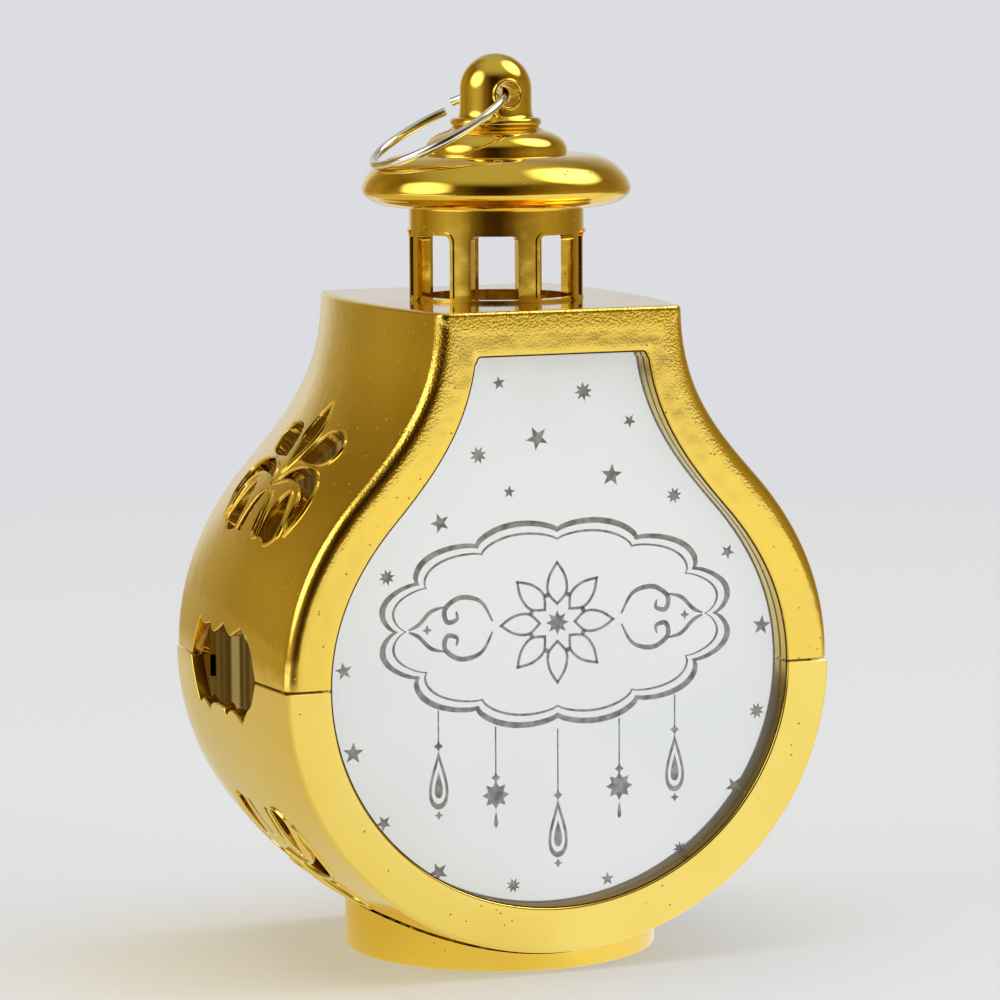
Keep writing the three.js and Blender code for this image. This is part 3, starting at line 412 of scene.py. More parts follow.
# Pierced palmette as [across, up], its spear away from the seam; a point given twice is a sharp tip
SPEAR = [
    (0, -0.9), (0, -0.9), (1.5, 2.6), (2.5, 6.4), (1.9, 10.2), (0, 13.4), (0, 13.4), (-1.9, 10.2), (-2.5, 6.4),
    (-1.5, 2.6),
]
SIDE_LEAF = [
    (3.4, 1.6), (3.4, 1.6), (8.6, 1.5), (12.4, 3.0), (13.2, 6.3), (10.6, 8.4), (6.6, 8.0), (4.4, 5.2),
]
VOLUTE = [
    (1.0, -3.5), (1.0, -3.5), (4.6, -2.2), (9.0, -2.4), (12.2, -4.6), (13.2, -8.6), (14.2, -10.4), (14.2, -10.4),
    (15.7, -6.4), (14.8, -2.0), (11.4, 0.3), (6.6, 0.4), (2.8, -1.2),
]
TONGUE = [
    (6.2, -12.2), (6.2, -12.2), (9.4, -12.9), (12.0, -11.0), (10.8, -7.2), (8.4, -3.9), (6.2, -6.8),
]
STEM_SLOT = [
    (1.0, -4.9), (1.0, -4.9), (3.2, -6.4), (4.9, -12.2), (4.9, -12.2), (3.0, -12.2), (2.2, -8.4),
]
UPPER_PALMETTE_Z = 75.1
UPPER_PALMETTE_TALLNESS = 0.94
# Wavy opening on the seam as [across, away from the seam]
WAVE_UP = [
    (17.0, 0), (17.0, 0), (14.9, 3.2), (12.3, 6.6), (12.3, 6.6), (10.2, 5.6), (6.4, 6.1), (6.4, 6.1), (4.6, 5.0),
    (0.1, 6.8), (0.1, 6.8), (-3.0, 5.4), (-5.2, 6.0), (-7.8, 7.0), (-7.8, 7.0), (-10.0, 6.0), (-12.7, 4.4),
    (-15.0, 0), (-15.0, 0),
]
WAVE_DOWN = [
    (17.0, 0), (17.0, 0), (15.3, 3.8), (13.6, 7.1), (13.6, 7.1), (11.0, 6.0), (7.7, 7.1), (7.7, 7.1), (6.1, 6.0),
    (1.0, 5.7), (-0.3, 7.0), (-0.3, 7.0), (-3.0, 5.8), (-5.6, 6.1), (-7.9, 7.2), (-7.9, 7.2), (-10.6, 5.0),
    (-13.1, 3.4), (-15.0, 0), (-15.0, 0),
]


def smooth_step(t):
    t = min(1.0, max(0.0, t))
    return t * t * (3 - 2 * t)


def curve_through(points, steps, closed=True):
    """A smooth line through the points; a point given twice stays sharp."""
    count = len(points)
    line = []
    for i in range(count if closed else count - 1):
        a = Vector(points[i])
        b = Vector(points[(i + 1) % count])
        if (b - a).length < 1e-6:
            continue
        before = Vector(points[i - 1]) if closed or i > 0 else a
        after = Vector(points[(i + 2) % count]) if closed or i < count - 2 else b
        for k in range(steps):
            t = k / steps
            line.append(
                0.5
                * (
                    2 * a
                    + (b - before) * t
                    + (2 * before - 5 * a + 4 * b - after) * t**2
                    + (3 * a - before - 3 * b + after) * t**3
                )
            )
    if not closed:
        line.append(Vector(points[-1]))
    return line


def widened(line, amount):
    """A closed line moved outwards, with its tips held back."""
    area = sum(a.cross(b) for a, b in zip(line, line[1:] + line[:1]))
    sign = 1 if area > 0 else -1
    moved = []
    for i, here in enumerate(line):
        into = (here - line[i - 1]).normalized()
        out = (line[(i + 1) % len(line)] - here).normalized()
        normal = Vector((into.y + out.y, -into.x - out.x))
        normal = normal.normalized() if normal.length > 1e-3 else Vector((into.y, -into.x))
        miter = max(0.6, normal.dot(Vector((into.y, -into.x))))
        moved.append(here + normal * sign * amount / miter)
    return moved


def push_face(mesh, face, ring):
    """Extrudes a face and moves its corners to the places of a ring; a lone face stays as the end."""
    corners = [v.co.copy() for v in face.verts]
    inside = len(face.edges[0].link_faces) > 1
    grown = bmesh.ops.extrude_face_region(mesh, geom=[face])["geom"]
    fresh = [g for g in grown if isinstance(g, bmesh.types.BMFace)][0]
    if inside and face.is_valid:
        bmesh.ops.delete(mesh, geom=[face], context="FACES_ONLY")
    for vert in fresh.verts:
        nearest = min(range(len(corners)), key=lambda i: (corners[i] - vert.co).length_squared)
        vert.co = ring[nearest]
    return fresh


def piercing_tool(outlines, bottom):
    """Cutters through the flat wall that leave each hole's outer rim rounded."""
    mesh = bmesh.new()
    rings = [(1.0, 0.6), (1.0, 0.02), (0.5, -0.134), (0.134, -0.5), (0.0, -1.0)]
    for line in outlines:
        levels = []
        for share, depth in rings:
            height = depth * RIM_R if depth < 0 else depth
            levels.append([Vector((p.x, p.y, height)) for p in widened(line, share * RIM_R)])
        levels.append([Vector((p.x, p.y, bottom)) for p in line])
        face = mesh.faces.new([mesh.verts.new(p) for p in levels[0]])
        for below, level in zip(levels, levels[1:]):
            order = {p.to_tuple(4): q for p, q in zip(below, level)}
            places = [order[v.co.to_tuple(4)] for v in face.verts]
            face = push_face(mesh, face, places)
    bmesh.ops.recalc_face_normals(mesh, faces=mesh.faces)
    return mesh


def bead_mesh(lines, radius, height):
    """Thin round beads along closed flat lines, at a height."""
    mesh = bmesh.new()
    for line in lines:
        rings = []
        for i, here in enumerate(line):
            way = (line[(i + 1) % len(line)] - line[i - 1]).normalized()
            ring = []
            for k in range(6):
                turn = math.pi / 3 * k
                place = here + Vector((way.y, -way.x)) * radius * math.cos(turn)
                ring.append(Vector((place.x, place.y, height + radius * math.sin(turn))))
            rings.append(ring)
        first = face = mesh.faces.new([mesh.verts.new(p) for p in rings[0]])
        for before, ring in zip(rings, rings[1:] + rings[:1]):
            order = {p.to_tuple(4): q for p, q in zip(before, ring)}
            face = push_face(mesh, face, [order[v.co.to_tuple(4)] for v in face.verts])
        bmesh.ops.delete(mesh, geom=[first, face], context="FACES_ONLY")
    bmesh.ops.remove_doubles(mesh, verts=mesh.verts, dist=1e-4)
    bmesh.ops.recalc_face_normals(mesh, faces=mesh.faces)
    return mesh


def carved(solid, tool, operation="DIFFERENCE"):
    """Cuts, joins or trims one closed mesh by another and frees both."""
    holders = []
    for mesh in (solid, tool):
        bmesh.ops.recalc_face_normals(mesh, faces=mesh.faces)
        data = bpy.data.meshes.new("carving")
        mesh.to_mesh(data)
        mesh.free()
        holder = bpy.data.objects.new("carving", data)
        bpy.context.scene.collection.objects.link(holder)
        holders.append(holder)
    cut = holders[0].modifiers.new("cut", "BOOLEAN")
    cut.operation = operation
    cut.solver = "EXACT"
    cut.object = holders[1]
    bpy.context.view_layer.update()
    evaluated = holders[0].evaluated_get(bpy.context.evaluated_depsgraph_get())
    result = bmesh.new()
    result.from_mesh(evaluated.to_mesh())
    for holder in holders:
        data = holder.data
        bpy.data.objects.remove(holder)
        bpy.data.meshes.remove(data)
    return result


def station(place, inner, normal, bulge, width, sway, edge=1.0):
    """One place along the wall: outer line, window edge, outward way, swell, frame width and edge."""
    return {"P": place, "Q": inner, "D": sway * bulge, "W": width, "n": normal, "E": edge}


def upper_stations():
    """The right half of the upper shell's outline, from the seam to the middle of the top plate."""
    belly = (
        Vector((BELLY_HALF_WIDTH, SEAM_Z)),
        Vector((BELLY_HALF_WIDTH, SEAM_Z + BELLY_HANDLE)),
        WAIST - WAIST_WAY * WAIST_HANDLE,
        WAIST,
    )
    neck = (
        WAIST,
        WAIST + WAIST_WAY * WAIST_HANDLE,
        Vector((NECK_HALF_WIDTH, TOP_Z - NECK_HANDLE)),
        Vector((NECK_HALF_WIDTH, TOP_Z)),
    )
    side = []
    for (a, b, c, d), steps in ((belly, 26), (neck, 28)):
        for k in range(steps):
            t = k / steps
            place = a * (1 - t) ** 3 + b * 3 * t * (1 - t) ** 2 + c * 3 * t**2 * (1 - t) + d * t**3
            way = (b - a) * (1 - t) ** 2 + (c - b) * 2 * t * (1 - t) + (d - c) * t**2
            normal = Vector((way.y, -way.x)).normalized()
            climb = (place.y - SEAM_Z) / UPPER_RISE
            width = FRAME_WIDTH + (FRAME_WIDTH_NECK - FRAME_WIDTH) * climb**3
            swell = 1.4 + 1.8 * smooth_step((place.y - SEAM_Z) / (WAIST.y - SEAM_Z))
            if place.y < TOP_Z - TOP_EDGE_R - 0.2:
                side.append(station(place, place - normal * width, normal, swell, width, normal))
    lengths = [0.0]
    for before, after in zip(side, side[1:]):
        lengths.append(lengths[-1] + (after["P"] - before["P"]).length)
    inner = [row["Q"] for row in side]
    # the window's corner sits lower than the outer one, so the window edge lags behind near the top
    lag = 5.5
    for row, length in zip(side, lengths):
        back = length - lag * smooth_step((row["P"].y - 87) / 13)
        i = min(len(side) - 2, max(0, bisect.bisect_right(lengths, back) - 1))
        row["Q"] = inner[i].lerp(inner[i + 1], (back - lengths[i]) / (lengths[i + 1] - lengths[i]))
    flat = Vector((1, 0))
    centre = Vector((NECK_HALF_WIDTH - TOP_EDGE_R, TOP_Z - TOP_EDGE_R))
    window_top = TOP_Z - FRAME_TOP_BAR
    window_centre = Vector((NECK_HALF_WIDTH - FRAME_WIDTH_NECK - WINDOW_CORNER_R, window_top - WINDOW_CORNER_R))
    for k in range(9):
        turn = math.pi / 2 * k / 8
        normal = Vector((math.cos(turn), math.sin(turn)))
        width = FRAME_WIDTH_NECK + (FRAME_TOP_BAR - FRAME_WIDTH_NECK) * k / 8
        edge = 1 + (TOP_EDGE_SHARE - 1) * k / 8
        window = window_centre + normal * WINDOW_CORNER_R
        side.append(station(centre + normal * TOP_EDGE_R, window, normal, 3.2, width, flat, edge))
    for k in range(1, 15):
        share = 1 - k / 14
        side.append(
            station(
                Vector((centre.x * share, TOP_Z)),
                Vector((window_centre.x * share, window_top)),
                Vector((0, 1)),
                3.2 * share,
                FRAME_TOP_BAR,
                flat,
                TOP_EDGE_SHARE,
            )
        )
    return side


def lower_stations():
    """The right half of the lower shell's outline, from the seam down to the lowest point."""
    side = []
    steps = 56
    for k in range(steps + 1):
        turn = math.pi / 2 * k / steps
        place = Vector((BELLY_HALF_WIDTH * math.cos(turn), SEAM_Z - BELLY_HALF_HEIGHT * math.sin(turn)))
        normal = Vector((math.cos(turn) / BELLY_HALF_WIDTH, -math.sin(turn) / BELLY_HALF_HEIGHT)).normalized()
        if k == steps:
            place.x = 0
            normal = Vector((0, -1))
        swell = 1.4 + 0.7 * math.sin(turn)
        side.append(station(place, place - normal * FRAME_WIDTH, normal, swell, FRAME_WIDTH, normal))
    return side


def wall_profile(edge_r):
    """Half of the wall's C-shaped section, from the inner middle round the frame to the outer middle."""
    points = [(-y, -WALL) for y in (0.0, 4.0, 8.0, 12.0, 16.0, 20.0)]
    points += [(-FRAME_INNER_Y, -WALL), (-FRAME_INNER_Y, DEEP)]
    for k in range(4):
        turn = math.pi / 2 * k / 3
        points.append(
            (
                -HALF_DEPTH + WINDOW_EDGE_R * (1 - math.sin(turn)),
                DEEP + WINDOW_EDGE_R * (1 - math.cos(turn)),
            )
        )
    points += [(-HALF_DEPTH, n) for n in (-5.6, -4.6, -3.6, -2.6)]
    for k in range(7):
        turn = math.pi / 2 * k / 6
        points.append((-HALF_DEPTH + edge_r * (1 - math.cos(turn)), -edge_r * (1 - math.sin(turn))))
    start = HALF_DEPTH - edge_r
    count = 16
    points += [(-start * (1 - k / count), 0.0) for k in range(1, count + 1)]
    return points


def flat_wall(stations, edge_r):
    """The wall as a straight bar along X: Y is the depth, Z is out of the wall."""
    half = wall_profile(edge_r)
    profile = half + [(-y, n) for y, n in reversed(half[1:-1])]
    lengths = [0.0]
    for before, after in zip(stations, stations[1:]):
        lengths.append(lengths[-1] + (after["P"] - before["P"]).length)
    mesh = bmesh.new()
    first = mesh.faces.new([mesh.verts.new((SEAM_START, y, n)) for y, n in profile])
    face = first
    for length in lengths:
        if length > SEAM_START + 0.3:
            face = push_face(mesh, face, [Vector((length, v.co.y, v.co.z)) for v in face.verts])
    bmesh.ops.recalc_face_normals(mesh, faces=mesh.faces)
    mesh.faces.ensure_lookup_table()
    first = [f for f in mesh.faces if len(f.verts) > 20 and f.calc_center_median().x < 1][0]
    bmesh.ops.inset_region(mesh, faces=[first], thickness=SEAM_CHAMFER, depth=SEAM_CHAMFER, use_even_offset=True)
    return mesh, lengths


def bent_wall(mesh, stations, lengths, edge_r):
    """Bends the pierced bar round the lantern's outline and mirrors it into a whole shell."""
    end = lengths[-1]
    caps = [f for f in mesh.faces if all(abs(v.co.x - end) < 1e-3 for v in f.verts)]
    bmesh.ops.delete(mesh, geom=caps, context="FACES_ONLY")
    # painted shade: the inner side of the wall and the walls of its holes are marked for a darker colour, fully by the
    # seam's wavy opening and a quarter as much further along
    inner_shade_mask = mesh.verts.layers.float.new("painted_shade_inside")
    for vert in mesh.verts:
        along, depth_y, out = vert.co
        if abs(depth_y) < FRAME_INNER_Y - 0.1:
            vert[inner_shade_mask] = smooth_step(-out / WALL) * (1 - 0.75 * smooth_step((along - 9) / 4))
        i = min(len(lengths) - 2, max(0, bisect.bisect_right(lengths, along) - 1))
        share = (along - lengths[i]) / (lengths[i + 1] - lengths[i])
        low, high = stations[i], stations[i + 1]
        place = low["P"].lerp(high["P"], share)
        window = low["Q"].lerp(high["Q"], share)
        sway = low["D"].lerp(high["D"], share)
        width = low["W"] + (high["W"] - low["W"]) * share
        edge = low["E"] + (high["E"] - low["E"]) * share
        if -edge_r < out < 0 and abs(depth_y) > HALF_DEPTH - edge_r:
            depth_y = math.copysign(HALF_DEPTH - (HALF_DEPTH - abs(depth_y)) * edge, depth_y)
            out *= edge
        depth = -out
        fade = 1.0
        if out < -WALL:
            depth = WALL + (-out - WALL) * (width - WALL) / (-DEEP - WALL)
            fade = max(0.0, 1 - (-out - WALL) / 3)
        spot = place + (window - place) * depth / width + sway * (1 - (depth_y / HALF_DEPTH) ** 2) * fade
        vert.co = (spot.x, depth_y, spot.y)
    for vert in mesh.verts:
        if abs(vert.co.x) < 1e-4:
            vert.co.x = 0
    bmesh.ops.mirror(mesh, geom=mesh.verts[:] + mesh.edges[:] + mesh.faces[:], axis="X", merge_dist=1e-3)
    bmesh.ops.remove_doubles(mesh, verts=mesh.verts, dist=1e-4)
    return mesh


def add_part_of(mesh, extra):
    """Adds another mesh's shape to a mesh and frees it."""
    data = bpy.data.meshes.new("extra")
    bmesh.ops.recalc_face_normals(extra, faces=extra.faces)
    extra.to_mesh(data)
    extra.free()
    mesh.from_mesh(data)
    bpy.data.meshes.remove(data)


def block(low, high, edge=0.15, segments=2):
    """A box between two corners with softened edges."""
    mesh = bmesh.new()
    bmesh.ops.create_cube(mesh, size=1)
    size = [b - a for a, b in zip(low, high)]
    bmesh.ops.scale(mesh, vec=size, verts=mesh.verts)
    bmesh.ops.translate(mesh, vec=[(a + b) / 2 for a, b in zip(low, high)], verts=mesh.verts)
    if edge:
        bmesh.ops.bevel(
            mesh, geom=mesh.edges[:], offset=edge, segments=segments, profile=0.5, affect="EDGES", material=-1
        )
    return mesh


def disc(radius, low, high, x=0.0, y=0.0, segments=96):
    """An upright cylinder between two heights."""
    mesh = bmesh.new()
    bmesh.ops.create_cone(
        mesh, cap_ends=True, segments=segments, radius1=radius, radius2=radius, depth=high - low,
        matrix=Matrix.Translation((x, y, (low + high) / 2)),
    )
    return mesh


def palmette_lines(middle, tallness=1.0):
    """The palmette's outlines at a place along the bar, as [along, across]."""
    lines = []
    for shape in (SPEAR, SIDE_LEAF, VOLUTE, TONGUE, STEM_SLOT):
        for side in (1, -1):
            if shape is SPEAR and side < 0:
                continue
            smooth = curve_through(shape, 5)
            lines.append([Vector((middle + p.y * tallness, side * p.x)) for p in smooth])
    return lines


def wave_line(points):
    """Half of the wavy opening, closed beyond the seam end of the bar."""
    smooth = curve_through(points, 5, closed=False)
    line = [Vector((p.y, p.x)) for p in smooth]
    return [Vector((-2.0, line[0].y))] + line + [Vector((-2.0, line[-1].y))]


def length_at(stations, lengths, height):
    """How far along the outline a height is reached."""
    for i in range(len(stations) - 1):
        a, b = stations[i]["P"].y, stations[i + 1]["P"].y
        if min(a, b) <= height <= max(a, b):
            return lengths[i] + (lengths[i + 1] - lengths[i]) * (height - a) / (b - a)
    return 0.0


def clip_blocks(places):
    """Small clips on the inside of the walls, behind the edges of both panels."""
    mesh = bmesh.new()
    for place, normal in places:
        for side in (1, -1):
            for end in (1, -1):
                clip = block((-1.6, -0.6, -3.0), (1.6, 0.6, 3.0))
                middle = place - normal * 2.6
                bmesh.ops.rotate(
                    clip, matrix=Matrix.Rotation(-math.atan2(normal.y, side * normal.x), 3, "Y"), verts=clip.verts
                )
                bmesh.ops.translate(clip, vec=(side * middle.x, end * 22.6, middle.y), verts=clip.verts)
                add_part_of(mesh, clip)
    return mesh


def add_piece(name, mesh, look, body="lantern", replaced=None, weighted=True):
    """Places a mesh drawn in millimetres as a finished piece."""
    bmesh.ops.recalc_face_normals(mesh, faces=mesh.faces)
    bmesh.ops.scale(mesh, vec=(MM, MM, MM), verts=mesh.verts)
    for face in mesh.faces:
        face.smooth = True
    for edge in mesh.edges:
        edge.smooth = edge.is_manifold and edge.calc_face_angle(0) < SHARP_ANGLE
    data = bpy.data.meshes.new(name)
    mesh.to_mesh(data)
    mesh.free()
    data.materials.append(look)
    piece = bpy.data.objects.new(name, data)
    bpy.context.scene.collection.objects.link(piece)
    if weighted:
        normals = piece.modifiers.new("even_normals", "WEIGHTED_NORMAL")
        normals.keep_sharp = True
    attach(piece, body)
    if replaced:
        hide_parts(replaced)
    return piece


def mark_edges(piece, stations):
    """Marks how near each corner of the front and back frames is to the outline, 1 on it."""
    outline = [row["P"] for row in stations]
    mark = piece.data.attributes.new("frame_edge", "FLOAT", "POINT")
    for vert in piece.data.vertices:
        x, y, z = (c / MM for c in vert.co)
        near = 0.0
        if abs(y) > HALF_DEPTH - UPPER_EDGE_R - 0.1:
            here = Vector((abs(x), z))
            distance = min((here - p).length for p in outline)
            near = smooth_step((3.9 - distance) / 2.3) * smooth_step((z - 50) / 40)
        mark.data[vert.index].value = near


def plating_group():
    """The plated surface: wide waves, fine grain from a height upwards, pits, and slight clouding."""
    group = bpy.data.node_groups.new("plated_surface", "ShaderNodeTree")
    for name, kind, value in (
        ("Vector", "NodeSocketVector", None),
        ("Wave Scale", "NodeSocketFloat", 220.0),
        ("Wave Height", "NodeSocketFloat", 1.0),
        ("Grain Scale", "NodeSocketFloat", 2200.0),
        ("Grain Height", "NodeSocketFloat", 0.2),
        ("Grain Foot", "NodeSocketFloat", -1.0),
        ("Edge", "NodeSocketFloat", 0.0),
        ("Pit Scale", "NodeSocketFloat", 1600.0),
        ("Pit Amount", "NodeSocketFloat", 0.1),
        ("Cloud Scale", "NodeSocketFloat", 60.0),
    ):
        socket = group.interface.new_socket(name, in_out="INPUT", socket_type=kind)
        if value is not None:
            socket.default_value = value
    for name in ("Height", "Pits", "Cloud"):
        group.interface.new_socket(name, in_out="OUTPUT", socket_type="NodeSocketFloat")
    nodes, links = group.nodes, group.links
    given = nodes.new("NodeGroupInput").outputs
    made = nodes.new("NodeGroupOutput")

    def noise(scale, detail):
        node = nodes.new("ShaderNodeTexNoise")
        node.inputs["Detail"].default_value = detail
        node.inputs["Roughness"].default_value = 0.5
        links.new(given["Vector"], node.inputs["Vector"])
        links.new(given[scale], node.inputs["Scale"])
        return node.outputs[0]

    def worked(operation, first, second):
        node = nodes.new("ShaderNodeMath")
        node.operation = operation
        links.new(first, node.inputs[0])
        links.new(second, node.inputs[1])
        return node.outputs[0]

    cells = nodes.new("ShaderNodeTexVoronoi")
    links.new(given["Vector"], cells.inputs["Vector"])
    links.new(given["Pit Scale"], cells.inputs["Scale"])
    hollow = spread(nodes, links, cells.outputs["Distance"], 0.08, 0.34, 1.0, 0.0)
    chance = nodes.new("ShaderNodeSeparateColor")
    links.new(cells.outputs["Color"], chance.inputs[0])
    pits = worked("MULTIPLY", hollow, worked("LESS_THAN", chance.outputs[0], given["Pit Amount"]))
    cloud = spread(nodes, links, noise("Cloud Scale", 4.0), 0.35, 0.65)
    parts = nodes.new("ShaderNodeSeparateXYZ")
    links.new(given["Vector"], parts.inputs[0])
    above = worked("SUBTRACT", parts.outputs["Z"], given["Grain Foot"])
    patchy = spread(nodes, links, cloud, 0.0, 1.0, 0.35, 1.0)
    grain_mask = worked("MULTIPLY", spread(nodes, links, above, -0.012, 0.012, 0.0, 0.2), patchy)
    grain_mask = worked("ADD", grain_mask, given["Edge"])
    grain = worked("MULTIPLY", worked("MULTIPLY", noise("Grain Scale", 2.0), given["Grain Height"]), grain_mask)
    waves = worked("MULTIPLY", noise("Wave Scale", 1.0), given["Wave Height"])
    links.new(worked("SUBTRACT", worked("ADD", waves, grain), pits), made.inputs["Height"])
    links.new(pits, made.inputs["Pits"])
    links.new(cloud, made.inputs["Cloud"])
    return group


PLATING = plating_group()


def plated_gold(name, colours, rough, bump=1e-4, coat=0.32, edged=False, inside=None, **surface_values):
    """Vacuum-plated gold under a clear lacquer; where a shade colour is given, the inside of a wall and the walls of
    its holes take it as painted shade.
    """
    material, nodes, links = new_material(name)
    surface = nodes.new("ShaderNodeGroup")
    surface.node_tree = PLATING
    links.new(nodes.new("ShaderNodeTexCoord").outputs["Object"], surface.inputs["Vector"])
    if edged:
        mark = nodes.new("ShaderNodeAttribute")
        mark.attribute_name = "frame_edge"
        links.new(mark.outputs["Fac"], surface.inputs["Edge"])
    for title, value in surface_values.items():
        surface.inputs[title.replace("_", " ").title()].default_value = value
    colour = ramp(nodes, links, surface.outputs["Cloud"], [(0.0, colours[0]), (1.0, colours[1])])
    shader = nodes.new("ShaderNodeBsdfPrincipled")
    shader.inputs["Metallic"].default_value = 1.0
    shader.inputs["Coat Weight"].default_value = coat
    shader.inputs["Coat Roughness"].default_value = 0.04
    pitted = mixed(nodes, links, surface.outputs["Pits"], colour, (0.50, 0.26, 0.02))
    # painted shade on the inner side of the wall and on the walls of its holes
    if inside:
        inner_shade_mask = nodes.new("ShaderNodeAttribute")
        inner_shade_mask.attribute_name = "painted_shade_inside"
        pitted = mixed(nodes, links, inner_shade_mask.outputs["Fac"], pitted, inside)
    links.new(pitted, shader.inputs["Base Color"])
    links.new(spread(nodes, links, surface.outputs["Cloud"], 0, 1, *rough), shader.inputs["Roughness"])
    bumped = nodes.new("ShaderNodeBump")
    bumped.inputs["Strength"].default_value = 1.0
    bumped.inputs["Distance"].default_value = bump
    links.new(surface.outputs["Height"], bumped.inputs["Height"])
    links.new(bumped.outputs["Normal"], shader.inputs["Normal"])
    out = nodes.new("ShaderNodeOutputMaterial")
    links.new(shader.outputs[0], out.inputs["Surface"])
    return material


# colour of the painted shade on the inner side of the shells' walls and in their holes
PAINTED_SHADE_INSIDE = (0.30, 0.16, 0.03)
upper_gold = plated_gold(
    "upper_shell_gold", ((0.91, 0.63, 0.075), (0.94, 0.67, 0.095)), (0.10, 0.18), coat=0.75, edged=True,
    inside=PAINTED_SHADE_INSIDE,
    grain_scale=2600.0, grain_height=0.75, grain_foot=0.085, wave_scale=300.0, wave_height=0.6, pit_amount=0.025,
)
lower_gold = plated_gold(
    "lower_shell_gold", ((0.92, 0.68, 0.12), (0.945, 0.72, 0.15)), (0.08, 0.14), coat=0.75, inside=PAINTED_SHADE_INSIDE, grain_height=0.03,
    wave_scale=120.0, wave_height=0.9, pit_amount=0.02,
)

stations = upper_stations()
wall, lengths = flat_wall(stations, UPPER_EDGE_R)
palmette = palmette_lines(length_at(stations, lengths, UPPER_PALMETTE_Z), UPPER_PALMETTE_TALLNESS)
wall = carved(wall, piercing_tool(palmette + [wave_line(WAVE_UP)], -3.6))
add_part_of(wall, bead_mesh([widened(line, RIM_R) for line in palmette], 0.3, 0.02))
upper = bent_wall(wall, stations, lengths, UPPER_EDGE_R)
upper = carved(upper, disc(11.65, TOP_Z - 3.0, TOP_Z + 1.0, segments=128))
waist_clips = [stations[11], stations[38]]
add_part_of(upper, clip_blocks([(row["P"], row["n"]) for row in waist_clips]))
mark_edges(add_piece("upper_shell_plated", upper, upper_gold, replaced="upper_shell"), stations)
upper_window = [row["Q"] for row in stations]

stations = lower_stations()
wall, lengths = flat_wall(stations, LOWER_EDGE_R)
palmette = palmette_lines(lengths[28])
wall = carved(wall, piercing_tool(palmette + [wave_line(WAVE_DOWN)], -3.6))
add_part_of(wall, bead_mesh([widened(line, RIM_R) for line in palmette], 0.3, 0.02))
lower = bent_wall(wall, stations, lengths, LOWER_EDGE_R)
lower = carved(lower, disc(17.0, 0.0, 20.0, segments=128))
add_part_of(lower, clip_blocks([(row["P"], row["n"]) for row in (stations[19], stations[47])]))
for side in (1, -1):
    boss = disc(2.5, 2.6, 8.6, x=side * 19.5, segments=40)
    boss = carved(boss, disc(1.3, 0.0, 6.9, x=side * 19.5, segments=32))
    add_part_of(lower, boss)
    for end in (1, -1):
        lug_low = min(side * 40.95, side * 42.15)
        lug_high = max(side * 40.95, side * 42.15)
        add_part_of(lower, block((lug_low, end * 19.5 - 2, SEAM_Z - 4), (lug_high, end * 19.5 + 2, SEAM_Z + 3.5)))
        root_low = min(side * 40.95, side * 43.45)
        root_high = max(side * 40.95, side * 43.45)
        add_part_of(lower, block((root_low, end * 19.5 - 2, SEAM_Z - 4), (root_high, end * 19.5 + 2, SEAM_Z - 0.3)))
add_piece("lower_shell_plated", lower, lower_gold, replaced="lower_shell")
lower_window = [row["Q"] for row in stations]

# Gallery. A ring of eight posts under a plain band, moulded in one and plated, with a thin raised
# lip round each window.

GALLERY_RADIUS = 13.65
GALLERY_WALL = 2.0
GALLERY_FOOT_Z = 102.02
GALLERY_TOP_Z = 116.08
BAY_COUNT = 8
BAY_LENGTH = 2 * math.pi * GALLERY_RADIUS / BAY_COUNT
BAY_HALF_WINDOW = 3.605
BAY_SILL_Z = 102.45
BAY_LINTEL_Z = 112.3
BAY_CORNER_R = 1.0
LIP_WIDTH = 0.5
LIP_HEIGHT = 0.3

gold_trim = plated_gold(
    "trim_gold", ((0.90, 0.61, 0.07), (0.94, 0.66, 0.095)), (0.05, 0.11), grain_scale=1800.0, grain_height=0.12,
    wave_scale=260.0, wave_height=0.45, pit_amount=0.02,
)


def window_block(margin, front, back):
    """The window's shape as a block, with its two upper corners rounded."""
    mesh = block(
        (-BAY_HALF_WINDOW - margin, front, BAY_SILL_Z - margin),
        (BAY_HALF_WINDOW + margin, back, BAY_LINTEL_Z + margin),
        edge=0,
    )
    upper_edges = [
        e for e in mesh.edges
        if all(abs(v.co.z - BAY_LINTEL_Z - margin) < 1e-4 for v in e.verts) and abs(e.verts[0].co.x - e.verts[1].co.x) < 1e-4
    ]
    bmesh.ops.bevel(
        mesh, geom=upper_edges, offset=BAY_CORNER_R + margin, segments=6, profile=0.5, affect="EDGES", material=-1
    )
    return mesh


